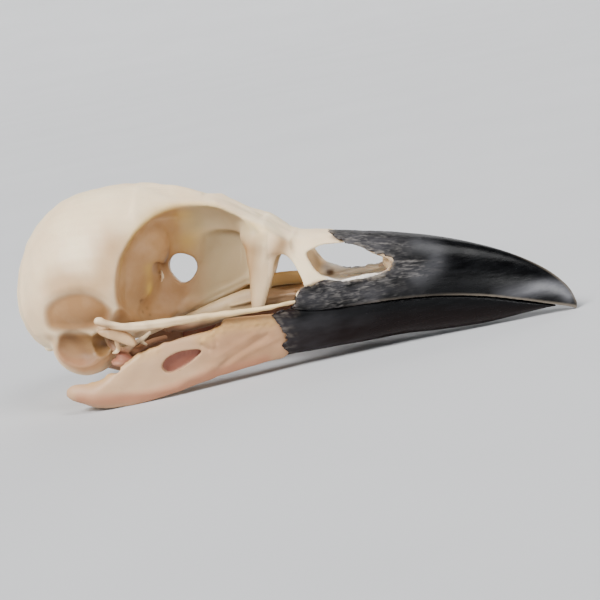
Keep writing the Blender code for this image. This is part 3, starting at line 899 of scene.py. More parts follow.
def head_clay(cell):
    """Braincase, roof, septum, cheek wings and the bare bone of the upper bill, grown together."""
    clay = Clay((-1.6, -17.0, -11.5), (70.0, 0, 22.0), cell)
    clay.add(loft(BRAINCASE))
    clay.add(loft(FRONTAL), blend=1.6)
    clay.add(HINDBRAIN, blend=2.5)
    clay.cut(ORBIT, ORBIT_FLOOR, blend=0.5)
    clay.add(BRAIN, blend=1.4)
    clay.add(FOREBRAIN, blend=1.6)
    clay.add(plate(SEPTUM_OUTLINE, -SEPTUM / 2, SEPTUM / 2), blend=1.0)
    clay.add(SEPTUM_ROOT, blend=2.4)
    clay.add(bar(ROSTRUM), blend=1.0)
    clay.add(plate(CHEEK_WING, -8.1, 0, edge=0.9), blend=1.6)
    clay.add(WING_TOP, blend=1.8)
    clay.add(WING_BACK, blend=1.0)
    clay.add(EAR_WALL, blend=0.8)
    clay.add(bar(POSTORBITAL), blend=1.0)
    clay.add(SKULL_BASE, blend=1.2)
    clay.add(ROSTRUM_ROOT, blend=1.0)
    clay.cut(EAR, blend=0.25)
    clay.cut(EAR_HOLE, blend=0.3)
    clay.add(ZYGOMATIC_PROCESS, blend=1.0)
    clay.add(bar(EAR_HOOK), blend=0.3)
    clay.cut(BEFORE_WING, blend=0.3)
    clay.cut(BEHIND_WING, blend=0.6)
    clay.cut(CORD_OPENING, blend=0.5)
    clay.cut(BRAIN_SPACE, blend=0.3)
    clay.add(NECK_KNOB, blend=0.3)
    clay.cut(NERVE_SLIT, blend=0.5)
    clay.cut(plate(SEPTUM_HOLE, -2, 2), blend=0.15)
    clay.add(bar(SLIVER), blend=0.1)
    clay.join(bill_bone_clay(cell), blend=1.4)
    return clay


def bare_bone():
    """The part of the upper bill without horn, whose border bends back in the middle of the ridge."""
    side = plate(BARE_BONE, *THROUGH)

    def distance(x, y, z):
        return side.distance(x - 0.055 * y * y * fade(z, 11.8, 0.6), y, z)

    return Shape(side.low, side.high, distance)


def bill_core(depth, floor, end, start=HINGE_X):
    """Sections of the upper bill, moved in by depth and raised by floor, from start to before end."""
    rows = [row for row in inset(UPPER_BILL, depth, floor) if row[0] < end]
    return loft([(start, *rows[0][1:]), *rows[1:]])


def bill_bone_clay(cell):
    """The bare bone of the upper bill, worked by itself because its cuts end at it."""
    clay = Clay((41.0, -9.5, 0.0), (70.0, 0, 15.0), cell)
    root = (41.6, 0, 7.9, 14.6, 13.0, 10.4, 2.6)
    clay.add(loft([root, *UPPER_BILL]))
    clay.keep(bare_bone())
    clay.add(bill_core(HORN, PALATE_DEPTH, 68), blend=0.3)
    clay.cut(bill_core(HORN + BONE_WALL, NASAL_DEPTH, 64, start=38.0), blend=0.3)
    clay.cut(plate(BEHIND_NASAL_BAR, *THROUGH), blend=0.4)
    clay.cut(plate(NOSTRIL, *THROUGH), blend=0.3)
    clay.add(NOSTRIL_FRONT, blend=0.4)
    clay.add(*NOSTRIL_KNOBS, blend=0.2)
    clay.add(bar(NOSTRIL_RIDGE), blend=0.3)
    return clay


def within(places, *shapes, soft=0.5):
    """1 on and inside any of the shapes, falling to 0 over soft outside them."""
    value = np.zeros(len(places))
    for shape in shapes:
        value = np.maximum(value, np.clip(1 - shape.distance(*places.T) / soft, 0, 1))
    return value


def pair(made):
    """The piece of the right side, and a mirrored copy of it for the left."""
    right_name = made.name
    made.name = right_name + "_right"
    mesh = made.data.copy()
    mesh.transform(Matrix.Diagonal((1, -1, 1, 1)))
    mesh.flip_normals()
    other = bpy.data.objects.new(right_name + "_left", mesh)
    bpy.context.scene.collection.objects.link(other)
    return (made, "right"), (other, "left")


def side_seed(seed, side):
    """A seed of each side's own, because the names of the sides differ in length."""
    return seed + len(side)


def cell_size(context, name):
    """The cell of a clay in millimetres, from the user's sizes."""
    return getattr(context.scene.crow_skull_sizes, name) * 1000


HEAD_LINES = (  # path, width, height
    (((19.6, -9.6, 3.0), (19.8, -10.0, 7.7), (20.6, -10.2, 10.1), (22.0, -9.4, 12.4), (23.3, -7.4, 14.4),
      (24.8, -4.7, 15.2), (27.0, -3.4, 15.0)), 0.6, -0.3),  # groove round the bulge of the forebrain
    (((21.8, -9.9, 11.0),), 2.6, 0.25),  # fullest places of the bulge
    (((25.2, -3.8, 14.0),), 1.6, 0.3),
    (((23.4, -8.6, 12.6), (24.8, -7.0, 10.7)), 0.8, -0.2),
    (((31.3, -0.8, 13.3), (35.5, -1.0, 13.4), (40.4, -2.0, 13.6)), 0.3, 0.1),
    (((31.3, -0.8, 12.8), (35.5, -0.8, 12.9), (40.0, -1.6, 13.1)), 0.35, -0.08),
    (((22.4, -4.8, 3.1), (21.0, -6.5, 0.9), (20.2, -9.2, -0.4)), 0.8, 0.25),
    (((29.5, -0.7, -0.2), (32.0, -0.8, 1.4), (34.5, -0.8, 2.6), (38.4, -0.7, 4.5)), 0.3, -0.18),
    (((21.2, -5.7, 1.8),), 0.25, -0.5),  # nutrient hole
    (((51.6, -6.5, 4.8),), 0.7, -0.5),  # pit in the wall across the nostril
    (((49.5, -6.4, 5.0), (50.6, -6.4, 6.0), (52.6, -6.4, 6.0), (53.8, -6.2, 5.0), (52.4, -6.4, 3.9),
      (50.4, -6.4, 3.9), (49.5, -6.4, 5.0)), 0.4, 0.22),
    (((33.6, -4.5, 18.2),), 0.9, 0.25),  # small swelling of the brow
    (((7.2, -12.3, -2.0), (9.6, -14.0, -1.0), (13.4, -14.8, -0.8),
      (16.0, -14.9, -0.6)), 0.7, 0.1),  # ridge over the ear
    (((24.0, 0, 20.0), (32.0, 0, 18.6), (38.0, 0, 16.6)), 1.6, -0.25),  # furrow between the brows
    (((0.6, 0, 9.0), (0.2, 0, 4.0), (0.6, 0, -0.5)), 2.6, 0.05),  # bulge of the hindbrain
    (((0.8, -4.6, 6.0), (0.9, -4.8, 1.0), (2.2, -5.6, -3.0)), 1.0, -0.18),
    (((4.0, -9.5, -3.5), (1.9, -8.4, 2.0), (2.3, -6.8, 7.2), (3.2, -3.0, 10.6), (3.4, 0, 11.2)), 0.7, 0.2),
    (((45.6, -6.0, 12.9), (45.8, 0, 13.1)), 1.2, -0.12),  # bending line of the bill
)
NOSTRIL_RIM = (  # x and z
    (53.0, 12.4), (56.0, 11.5), (59.4, 10.0), (61.9, 8.9), (61.8, 7.4), (58.0, 6.1), (55.5, 5.75),
    (53.0, 5.8),
)
HEAD_SHADE = (  # path, width, strength, as in the tables below
    (((6.8, -11.5, -4.5), (8.4, -12.2, -7.2), (12.0, -12.6, -8.8), (15.4, -12.4, -8.0),
      (17.0, -12.0, -6.4)), 1.7, 1.0),  # lower rim of the ear
    (((9.0, -15.0, 6.0), (16.0, -15.0, 6.0), (18.0, -13.0, 12.0)), 3.5, 0.75),  # temple
    (((3.0, -8.0, -3.0), (6.0, -12.0, 0.0)), 4.0, 0.3),
    (((11.0, -13.6, -1.2), (14.2, -14.2, -1.4), (16.7, -14.4, -2.2)), 1.1, 0.85),  # upper rim of the ear
    (((44.8, -8.0, 12.0), (44.0, -8.3, 10.5)), 1.8, 0.8),  # cheek wing, at its top and its middle
    (((41.5, -8.0, 8.0), (40.5, -8.0, 3.0)), 2.0, 0.4),
)
HEAD_YELLOW = (
    (((28.6, -3.0, 16.2), (29.6, -1.6, 13.6), (28.8, -1.0, 11.6)), 2.2, 0.6),  # roof of the orbit
    (((23.3, -8.4, 7.5), (23.3, -6.4, 5.4), (22.6, -4.6, 3.3)), 0.9, 0.85),  # foot of the forebrain's bulge
    (((19.2, -12.5, 8.0), (21.5, -11.4, 13.8), (25.0, -7.6, 17.2), (31.0, -5.4, 17.6), (37.5, -6.8, 15.9),
      (41.6, -7.6, 13.4)), 1.1, 0.45),  # edge of the brow
    (((12.6, -13.5, -4.6), (16.5, -12.4, -4.6)), 1.6, 0.35),
)
# pink on the lower rim of the ear: painted reddish light reflected from below
HEAD_REFLECTED_PINK = (
    (((10.6, -11.3, -7.6), (12.6, -11.6, -7.6)), 1.0, 0.25),
    (((7.6, -11.5, -6.4), (12.0, -12.4, -8.6), (15.6, -12.0, -7.6)), 1.3, 0.25),
)
# Brown marks: specks and dried skin, and painted shade in slits, holes and the ear
HEAD_BROWN = (
    (((24.9, -3.5, 8.6), (24.9, -2.5, 7.4)), 1.4, 0.7),  # painted shade in the slit for the nerve of the eye
    (((15.4, -12.0, -4.4), (16.2, -11.4, -5.2)), 0.9, 0.9),  # painted shade in the ear
    (((12.5, -12.8, -2.7), (14.6, -13.2, -2.6)), 0.6, 0.6),
    (((21.2, -5.7, 1.8),), 0.3, 0.9),  # painted shade in the nutrient hole
    (((51.4, -6.5, 4.8), (52.0, -6.5, 4.8)), 0.6, 0.95),  # painted shade in a pit in the nostril
    (((49.4, -6.4, 7.6), (49.8, -6.4, 6.2), (51.0, -6.4, 5.9)), 0.7, 0.45),
    (((61.0, -1.5, 7.4), (61.6, -3.8, 8.4)), 1.2, 0.5),
    (((21.4, -5.3, -0.1),), 0.3, 0.6),  # specks at the foot of the orbit
    (((22.4, -4.4, -0.8),), 0.25, 0.5),
    (((21.9, -4.2, 0.3),), 0.3, 0.4),
    (((24.3, -8.1, 8.9), (25.3, -6.9, 10.0), (26.0, -3.0, 10.2)), 0.35, 0.35),  # shred of dried skin
    (((17.0, -12.5, -0.2), (19.5, -11.5, -0.4)), 1.0, 0.4),
)


def paint_head(made, clay):
    """Paints shade in the hollows and under the orbit's roof, reddish reflected light low on the ear, light
    on the floor of the nasal cavity, and stains of grease and dried skin.
    """
    places = read(made.data)
    right = right_side(places)
    x, _, z = right.T
    wing_side = plate(CHEEK_WING, -9.0, -4.5)
    high = fade(z, 11, 3) * fade(x, 27, 3)  # under the roof of the orbit, where painted shade is grey instead of tan
    # hollow: tan of grease and painted shade in the orbit, the ear and the other hollows
    hollow = most(
        (0.95 - 0.75 * high) * within(right, ORBIT, soft=0.8),
        within(right, ORBIT_FLOOR, EAR, EAR_HOLE, soft=0.6),
        within(right, BRAIN_SPACE, soft=0.2),
    )
    lit = np.clip((x - 39.0 - 0.13 * (z - 3)) / 2.4, 0, 0.75)  # front half of the cheek wing, where the painted shade is taken off; its rear edge keeps it
    hollow *= 1 - lit * within(right, wing_side, soft=1.8)
    hollow *= 1 - 0.2 * within(right, *EAR_FRONT, soft=0.4)
    hollow = most(hollow, outline_share(right, TEMPLE_OUTLINE, 2.0, TEMPLE[1]), strokes(right, HEAD_SHADE))
    hollow *= 1 - within(right, bar(SLIVER), soft=0.15)
    # shelter: painted shade, by how much bone stands round each place
    shelter = 1.2 * clay.shelter(places, 5.0) + 0.5 * np.maximum(clay.shelter(places, 1.2), 0)
    # painted light on the floor of the nasal cavity, which gets little real light: its painted shade is
    # taken off and it is painted pale
    nostril_floor = within(right, lump((56.5, -4.5, 5.2), (5.5, 2.6, 1.8)), soft=0.6)
    shelter *= 1 - most(0.8 * high, 0.85 * nostril_floor)
    paint(made, hollow=most(hollow, shelter))
    paint(made, yellow=strokes(right, HEAD_YELLOW))
    paint(made, pink=strokes(right, HEAD_REFLECTED_PINK))
    inner_ear = within(right, EAR, EAR_HOLE, soft=0.9) * (1 - 0.8 * within(right, *EAR_FRONT, soft=0.3))
    # brown: dried skin and painted shade deep in the ear, painted shade in the opening for the cord, and
    # the marks above
    paint(made, brown=most(
        (0.7 + 0.15 * ripple(*right.T, 3.0, 71)) * inner_ear,
        0.28 * outline_share(right, TEMPLE_OUTLINE, 1.0, TEMPLE[1]),
        0.7 * within(right, BRAIN_SPACE, soft=0.2),
        strokes(right, [(on_side(UPPER_BILL, NOSTRIL_RIM), 0.7, 0.8)]),
        strokes(right, HEAD_BROWN),
    ))
    septum = within(right, plate(SEPTUM_OUTLINE, -1.4, 1.4), soft=0.8) * fade(x, 28, 4)
    # grey under the roof of the orbit is painted shade
    septum = most(septum, 0.8 * high * within(right, ORBIT, soft=0.45))
    wing = within(right, wing_side, soft=0.5)
    paint(made, grey=np.where(x < 42.5, 0.3 * wing, 0) + 0.85 * septum * (1 - wing))
    # pale: painted light on the floor of the nasal cavity
    paint(made, pale=within(right, lump((56.0, -4.6, 5.4), (6.0, 3.0, 2.4)), soft=0.8))


class CROWSKULL_OT_head(Operator):
    """Make the bone of the braincase, the orbits and the upper bill as one skin"""

    bl_idname = "crow_skull.head"
    bl_label = "Head bone"

    def execute(self, context):
        clay = head_clay(cell_size(context, "head_grain"))
        made = clay.cast("head_bone")
        x, _, z = read(made.data).T
        even_out(made, (6.5 - x) / 4 * (z > -2.5), 60)  # the round back of the braincase
        carve_area(made, TEMPLE_OUTLINE, TEMPLE[0], 2.4, TEMPLE[1])
        carve_lines(made, HEAD_LINES)
        roughen(made, 0.05, 3.0, 11)
        paint_head(made, clay)
        finish_piece(made, "bone", "cranium", "upper_jaw")
        return {"FINISHED"}


JAW_LINES = (
    (((16.5, -13.5, -12.4), (18.5, -13.6, -11.7), (22.7, -13.4, -11.9), (27.0, -12.9, -11.2),
      (30.0, -12.2, -9.7), (33.1, -11.4, -8.2), (35.2, -10.8, -6.9)), 0.7, 0.2),  # edge of its flat face
    (((20.5, -13.4, -9.6), (24.0, -13.3, -9.9), (30.0, -12.4, -7.9)), 2.0, -0.22),
    (((14.0, -12.6, -10.9), (17.6, -12.7, -8.8), (21.6, -12.6, -5.9), (24.5, -12.5, -4.7)), 0.7, 0.22),
    (((21.6, -12.6, -5.7),), 0.7, 0.3),
    (((25.7, -12.2, -3.9),), 0.8, 0.3),
    (((32.4, -11.7, -3.2), (33.6, -11.5, -4.3)), 0.45, 0.22),  # scar of the jaw's muscle
    (((32.0, -11.8, -4.2), (33.0, -11.6, -4.9)), 0.35, -0.2),
    (((33.9, -11.4, -3.0), (34.3, -11.3, -3.8)), 0.3, -0.18),
    (((34.9, -10.9, -7.6), (38.0, -10.0, -5.5), (42.4, -9.0, -2.9)), 0.4, -0.16),
    (((34.0, -11.1, -6.4), (37.0, -10.3, -4.6), (40.5, -9.5, -2.6)), 0.5, 0.12),
    (((36.0, -10.5, -7.7), (40.0, -9.5, -5.3), (44.0, -8.6, -3.6)), 0.5, 0.12),
    (((35.6, -10.6, -1.2), (39.5, -9.6, -0.9), (43.0, -8.8, -0.9)), 0.4, 0.12),
)
JAW_YELLOW = (
    (((14.0, -12.6, -10.9), (17.6, -12.7, -8.8), (21.6, -12.6, -5.9), (24.5, -12.5, -4.7)), 1.0, 0.4),
    (((32.0, -11.8, -3.0), (36.0, -10.5, -1.2), (43.0, -8.8, -0.8)), 1.1, 0.4),
)
# lower edge of the jaw, along which shade and reddish reflected light are painted
JAW_EDGE = (
    ((12.5, -13.8, -13.0), (17.0, -14.3, -12.9), (23.0, -13.4, -12.6), (28.0, -12.6, -11.3),
     (34.0, -11.1, -9.1), (42.0, -9.0, -7.4)), 1.6, 0.7)
# pink along the jaw's lower edge and its middle: painted reddish light reflected from below
JAW_REFLECTED_PINK = (JAW_EDGE, (((36.0, -10.4, -5.0), (43.0, -8.8, -4.0)), 2.2, 0.3))
JUGAL_LINES = (
    (((18.0, -15.3, 0.2), (24.0, -14.5, 0.4), (33.0, -12.3, 1.1)), 0.3, 0.1),
    (((17.5, -15.4, -0.7), (24.0, -14.7, -0.6), (31.0, -12.8, 0.2)), 0.35, -0.12),
)
# pink on the body of the quadrate: painted reddish light reflected from below
QUADRATE_REFLECTED_PINK = ((((17.6, -12.5, -6.6), (20.8, -12.5, -6.8)), 1.6, 0.9),)
# painted shade in the recess above the ear's hook and at the base of the orbital process
QUADRATE_SHADE = (
    (((16.4, -10.9, -2.4), (16.9, -11.5, -4.4)), 1.4, 1.0),
    (((19.6, -11.2, -5.2), (21.3, -9.5, -4.1)), 0.7, 0.7),
)
QUADRATE_RED = ((((18.6, -12.8, -5.3), (20.8, -12.8, -6.2)), 1.1, 1.0),)
# a small dark dot on the palatine
PALATINE_DARK_DOT = ((((32.9, -3.4, 1.2),), 0.25, 0.7),)

# Dried skin over the window in each arm of the jaw, a little sunk in from outside
WINDOW_SKIN = loft([
    (x, y + 0.35, 0.17, -4.8, -7.0, -8.9, 6.0) for x, y in ((24.8, -12.35), (28.0, -11.9), (32.6, -10.9))
])


class CROWSKULL_OT_jaw(Operator):
    """Make the two arms of the lower jaw"""

    bl_idname = "crow_skull.jaw"
    bl_label = "Lower jaw bones"

    def execute(self, context):
        cell = cell_size(context, "small_grain")
        clay = Clay((8.5, -16.0, -15.6), (48.0, -5.5, 1.8), cell, mirrored=False)
        clay.add(loft(MANDIBLE))
        clay.add(bar(MEDIAL_PROCESS), blend=1.0)
        clay.cut(lump((17.4, -12.2, -8.2), (1.9, 1.8, 0.9)), blend=0.3)
        clay.cut(plate(JAW_WINDOW, -15.0, -9.0), blend=0.25)
        clay.add(WINDOW_SKIN)
        for made, side in pair(clay.cast("jaw_arm")):
            carve_lines(made, JAW_LINES)
            roughen(made, 0.035, 2.2, side_seed(21, side))
            right, normals = right_side(read(made.data)), read(made.data, "normal")
            bumps = 0.13 * strokes(right, JAW_YELLOW) * ripple(*right.T, 0.9, 27)
            write(made.data, read(made.data) + normals * bumps[:, None])
            # inner faces: painted shade and reddish reflected light, as they face away from the lamps
            inward = np.where(read(made.data)[:, 1] > 0, -1, 1) * normals[:, 1]
            inner = np.clip(inward * 1.6 - 0.2, 0, 1)
            window = plate(JAW_WINDOW, -15, -9)
            skin = within(right, WINDOW_SKIN, soft=0.12) * within(right, window, soft=0.2)
            front = fade(right[:, 0], 30, 6)
            # band along the lower edge: painted shade and reddish reflected light
            underside_shade = strokes(right, [JAW_EDGE])
            paint(
                made,
                # hollow: painted shade in hollows and along the lower edge, with a tan that grows towards
                # the front
                hollow=most(clay.shelter(right, 3.0), 0.5 + 0.25 * front, 0.9 * underside_shade),
                brown=most(0.28 + 0.1 * front, 0.8 * underside_shade),
                yellow=strokes(right, JAW_YELLOW),
                pink=most(strokes(right, JAW_REFLECTED_PINK), 0.25),
                red=most(skin, 0.55 * inner, 0.2 * underside_shade),
            )
            finish_piece(made, "bone", "mandible_" + side)
        return {"FINISHED"}


class CROWSKULL_OT_cheeks(Operator):
    """Make the thin bars that run from the bill to the quadrates"""

    bl_idname = "crow_skull.cheeks"
    bl_label = "Cheek bars"

    def execute(self, context):
        cell = cell_size(context, "small_grain")
        clay = Clay((14.0, -16.2, -2.6), (50.0, -7.0, 3.8), cell, mirrored=False)
        clay.add(bar(JUGAL))
        clay.add(lump((16.0, -15.0, 0.25), (0.75, 0.55, 0.6)), blend=0.3)
        for made, side in pair(clay.cast("cheek_bar")):
            carve_lines(made, JUGAL_LINES)
            roughen(made, 0.04, 2.5, side_seed(31, side))
            right, down = right_side(read(made.data)), -read(made.data, "normal")[:, 2]
            x = right[:, 0]
            paint(
                made,
                # hollow: painted shade on the underside of the bar, and tan at its rear end
                hollow=0.15 + 0.5 * np.clip(down + 0.3, 0, 1) + 0.2 * fade(x, 22, -5),
                yellow=0.25 * fade(x, 20, 15),
                brown=0.2 * ripple(*right.T, 3.0, 33),
            )
            finish_piece(made, "bone", "jugal_" + side)
        return {"FINISHED"}


class CROWSKULL_OT_hinges(Operator):
    """Make the quadrates that carry the jaw and the pterygoids in front of them"""

    bl_idname = "crow_skull.hinges"
    bl_label = "Quadrates and pterygoids"

    def execute(self, context):
        cell = cell_size(context, "small_grain")
        clay = Clay((14.5, -14.8, -9.0), (24.5, -7.4, -0.8), cell, mirrored=False)
        clay.add(bar(OTIC_PROCESS))
        clay.add(lump((19.4, -11.9, -6.2), (1.7, 1.1, 0.7), lean=25), blend=0.4)
        clay.add(lump((18.6, -11.9, -7.1), (1.4, 1.7, 0.7)), blend=0.5)
        clay.add(bar(ORBITAL_PROCESS), blend=0.4)
        clay.add(bar(ORBITAL_FORK), blend=0.2)
        for made, side in pair(clay.cast("quadrate_bone")):
            right = right_side(read(made.data))
            # hollow and brown: painted shade where the quadrate sits in the ear's recess
            paint(
                made,
                hollow=0.9 + clay.shelter(right, 1.5),
                pink=strokes(right, QUADRATE_REFLECTED_PINK),
                brown=strokes(right, QUADRATE_SHADE),
                red=most(0.7 * fade(right[:, 2], -5.4, -0.8), strokes(right, QUADRATE_RED)),
            )
            finish_piece(made, "bone", "quadrate_" + side)
        clay = Clay((18.8, -11.2, -7.6), (26.0, -1.8, -3.6), cell, mirrored=False)
        clay.add(bar(PTERYGOID))
        for made, side in pair(clay.cast("pterygoid_bone")):
            # painted shade with reddish reflected light, as the bar lies under the skull
            paint(made, hollow=0.7, pink=0.4, red=0.35)
            finish_piece(made, "bone", "pterygoid_" + side)
        return {"FINISHED"}


class CROWSKULL_OT_palate(Operator):
    """Make the palatines and the vomer between them"""

    bl_idname = "crow_skull.palate"
    bl_label = "Palate"

    def execute(self, context):
        cell = cell_size(context, "small_grain")
        clay = Clay((24.0, -7.4, -4.8), (51.0, -0.6, 5.4), cell, mirrored=False)
        clay.add(loft(PALATINE))
        clay.add(bar(PALATINE_CREST), blend=0.4)
        clay.add(plate(PALATE_SHELF, -5.2, -0.9, edge=0.2), blend=0.2)
        for made, side in pair(clay.cast("palatine_bone")):
            right = right_side(read(made.data))
            roughen(made, 0.05, 1.8, side_seed(41, side))
            x, _, z = right.T
            front = fade(x, 39.5, 3)
            paint(
                made,
                # hollow: painted shade; brown towards the front: stain and painted shade
                hollow=0.85 + 0.6 * clay.shelter(right, 2.0),
                brown=strokes(right, PALATINE_DARK_DOT) + 0.2 + 0.45 * front + 0.15 * fade(x, 43, 2),
                grey=0.6 * (1 - front),
                red=0.6 * fade(z, -1.2, -1.5),
            )
            finish_piece(made, "bone", "palatine_" + side)
        clay = Clay((36.5, -1.4, 0.0), (51.0, 0, 7.4), cell)
        clay.add(loft(VOMER))
        made = clay.cast("vomer_bone")
        paint(made, hollow=0.5, yellow=0.45)
        finish_piece(made, "bone", "vomer")
        return {"FINISHED"}


# Marks on the side of the upper bill: x and z. The first two are bands of painted sheen, highlights of the
# lamps on the polished horn; at the tip the horn is also rubbed.
PAINTED_SHEEN_MIDDLE = ((66.8, 11.4), (69.3, 10.4), (69.5, 8.8), (68.4, 7.2), (66.8, 6.2))
WEAR_AND_SHEEN_TIP = ((78.0, 3.3), (80.0, 3.3), (83.3, 3.5), (86.5, 4.2), (88.4, 4.3), (90.0, 3.9), (91.4, 2.8))
UPPER_HORN_STREAKS = (  # pale lines in the horn in front of the nostril
    ((62.6, 8.7), (66.0, 8.75), (71.0, 8.5)),
    ((63.2, 8.1), (65.0, 8.1), (67.5, 8.0)),
    ((63.5, 7.5), (67.0, 7.4), (70.5, 7.2)),
    ((64.0, 6.9), (66.5, 6.8)),
    ((60.0, 5.6), (64.0, 6.3), (68.0, 6.5)),
    ((55.0, 12.2), (59.5, 11.6), (64.0, 11.2)),
)


def horn_edge(places, outline, width):
    """1 inside an outline and at its line, where the sheath ends, falling to 0 over width."""
    away = outline_distance(rounded_ring(outline), places[:, 0], places[:, 2])
    return np.clip(1 - away / width, 0, 1)


class CROWSKULL_OT_upper_horn(Operator):
    """Make the horn sheath of the upper bill"""

    bl_idname = "crow_skull.upper_horn"
    bl_label = "Upper horn sheath"

    def execute(self, context):
        clay = Clay((44.0, -9.4, -0.8), (94.0, 0, 14.4), cell_size(context, "horn_grain"))
        clay.add(loft(UPPER_BILL))
        clay.cut(bill_core(HORN, PALATE_DEPTH, 71, start=40.0))
        clay.cut(loft(BETWEEN_EDGES), blend=0.3)
        clay.cut(rippled(rippled(bare_bone(), 0.22, 1.7, 3), 0.12, 0.6, 4), blend=0.2)
        clay.cut(rippled(plate(NOSTRIL, *THROUGH), 0.08, 0.7, 7), blend=0.2)
        made = clay.cast("upper_horn")
        places = read(made.data)
        x, y, z = places.T
        right = right_side(places)
        near = horn_edge(places, NOSTRIL, 8)
        rough = fade(x, 71, -12) * (0.25 + 0.75 * near)
        # painted sheen: highlights of the lamps laid in as colour, near the tip and on the middle of the
        # bill
        sheen = most(
            strokes(right, [(on_side(UPPER_BILL, WEAR_AND_SHEEN_TIP), 1.05, 0.9)]) * fade(x, 78, 8),
            strokes(right, [(on_side(UPPER_BILL, PAINTED_SHEEN_MIDDLE), 1.6, 0.28)]),
        )
        flakes = scales(places, 51)
        write(made.data, places + read(made.data, "normal") * (0.08 * flakes * rough)[:, None])
        streaks = strokes(right, [(on_side(UPPER_BILL, path), 0.2, 1.0) for path in UPPER_HORN_STREAKS])
        streaks *= fade(x, 71, -5)
        table = smooth_rows(UPPER_BILL)
        cutting = np.clip(0.9 - (z - np.interp(x, table[:, 0], table[:, 4])) / 0.4, 0, 1)
        ridge = np.clip(1.5 - np.abs(y) / 0.4, 0, 1) * fade(read(made.data, "normal")[:, 2], 0, 0.3)
        # here only the wear of the cutting edge, growing towards the tip
        worn = 0.3 * fade(x, 54, 6) + 0.7 * fade(x, 70, 8)
        rim = horn_edge(places, BARE_BONE, 0.8)
        paint(
            made,
            rough=rough,
            worn=sheen,
            chalk=most((0.3 + 0.7 * flakes) * rough**1.5, 0.7 * rim, 0.9 * streaks),
            brown=0.8 * rim,
            edge=most(
                0.85 * cutting * worn, 0.6 * ridge * fade(x, 80, 9), 0.5 * rim * flakes * (z > 4.5),
            ),
        )
        finish_piece(made, "horn", "upper_sheath")
        return {"FINISHED"}


class CROWSKULL_OT_lower_horn(Operator):
    """Make the horn sheath of the lower bill"""

    bl_idname = "crow_skull.lower_horn"
    bl_label = "Lower horn sheath"

    def execute(self, context):
        clay = Clay((41.0, -10.0, -9.0), (90.6, 0, 3.6), cell_size(context, "horn_grain"))
        clay.add(loft(LOWER_BILL))
        clay.add(loft(LOWER_EDGES), blend=0.3)
        clay.cut(loft(BETWEEN_ARMS), blend=0.3)
        clay.cut(rippled(rippled(plate(BARE_MANDIBLE, *THROUGH), 0.2, 1.6, 5), 0.12, 0.5, 6), blend=0.2)
        clay.cut(loft(inset(MANDIBLE, -0.1)))
        made = clay.cast("lower_horn")
        places = read(made.data)
        x, _, z = places.T
        rim = horn_edge(places, BARE_MANDIBLE, 2.2)
        rough = most(0.8 * rim, 0.45 * fade(x, 62, -16))
        flakes = scales(places, 61)
        write(made.data, places + read(made.data, "normal") * (0.08 * flakes * rough)[:, None])
        table = smooth_rows(LOWER_BILL)
        top, bottom = (np.interp(x, table[:, 0], table[:, column]) for column in (3, 5))
        low = np.clip(1.3 - 1.6 * (z - bottom) / (top - bottom), 0, 1)
        paint(
            made,
            rough=rough,
            chalk=0.35 * flakes * rim,
            brown=most(0.8 * low, rim),
            edge=0.2 * rim * flakes,
        )
        finish_piece(made, "horn", "lower_sheath")
        return {"FINISHED"}


SUNS = (  # name, direction it comes from, strength, width in degrees
    ("Key", (-0.5, -0.6, 0.8), 5.4, 26),
    ("Fill", (0.43, -0.38, 0.82), 1.5, 26),
    ("Back", (0.1, 0.8, 0.7), 0.9, 40),
)


def add_sun(name, place, strength, spread):
    """A lamp far off in that direction, as soft as a wide window."""
    lamp = bpy.data.lights.new(name, "SUN")
    lamp.energy, lamp.angle = strength, math.radians(spread)
    made = bpy.data.objects.new(name, lamp)
    made.rotation_mode = "QUATERNION"
    made.rotation_quaternion = Vector(place).to_track_quat("Z", "Y")
    bpy.context.scene.collection.objects.link(made)


def add_panel(name, place, strength, width=0.26, height=0.08):
    """A wide low lamp at that place in metres, which faces the skull and isn't seen itself."""
    lamp = bpy.data.lights.new(name, "AREA")
    lamp.energy, lamp.shape, lamp.size, lamp.size_y = strength, "RECTANGLE", width, height
    made = bpy.data.objects.new(name, lamp)
    made.location = place
    made.rotation_mode = "QUATERNION"
    made.rotation_quaternion = Vector(place).to_track_quat("Z", "Y")
    made.visible_camera = False
    bpy.context.scene.collection.objects.link(made)


def studio_floor(flat=1.2, rise=1.8, parts=96):
    """A round floor that curves up far away, so that no edge of it is seen."""
    turns = np.radians(np.linspace(0, 45, 12))
    rings = [(flat + rise * math.sin(a), rise * (1 - math.cos(a))) for a in turns]
    around = 2 * math.pi * np.arange(parts) / parts
    places = [(r * math.cos(a), r * math.sin(a), z) for r, z in rings for a in around]
    faces = [tuple(range(parts))]
    for ring in range(len(rings) - 1):
        for k in range(parts):
            start, after = ring * parts + k, ring * parts + (k + 1) % parts
            faces.append((start, start + parts, after + parts, after))
    mesh = bpy.data.meshes.new("floor")
    mesh.from_pydata(places, [], faces)
    mesh.shade_smooth()
    made = bpy.data.objects.new("floor", mesh)
    bpy.context.scene.collection.objects.link(made)
    return made


def add_camera():
    """The photo's camera, which keeps its place about the skull and so tips with it."""
    rise, turn = CAMERA_RISE, CAMERA_TURN
    back = Vector((math.sin(turn) * math.cos(rise), -math.cos(turn) * math.cos(rise), math.sin(rise)))
    right = Vector((math.cos(turn), math.sin(turn), 0))
    over = back.cross(right)
    place = skull_to_frame() @ (Vector(CAMERA_TARGET) + CAMERA_DISTANCE * back)
    turned = skull_to_frame().to_3x3().normalized() @ Matrix((right, over, back)).transposed()
    lens = bpy.data.cameras.new("Camera")
    lens.sensor_width, lens.lens = CAMERA_SENSOR, CAMERA_LENS
    lens.clip_start, lens.clip_end = 0.01, 20
    made = bpy.data.objects.new("Camera", lens)
    made.matrix_world = Matrix.Translation(place) @ turned.to_4x4()
    bpy.context.scene.collection.objects.link(made)
    bpy.context.scene.camera = made


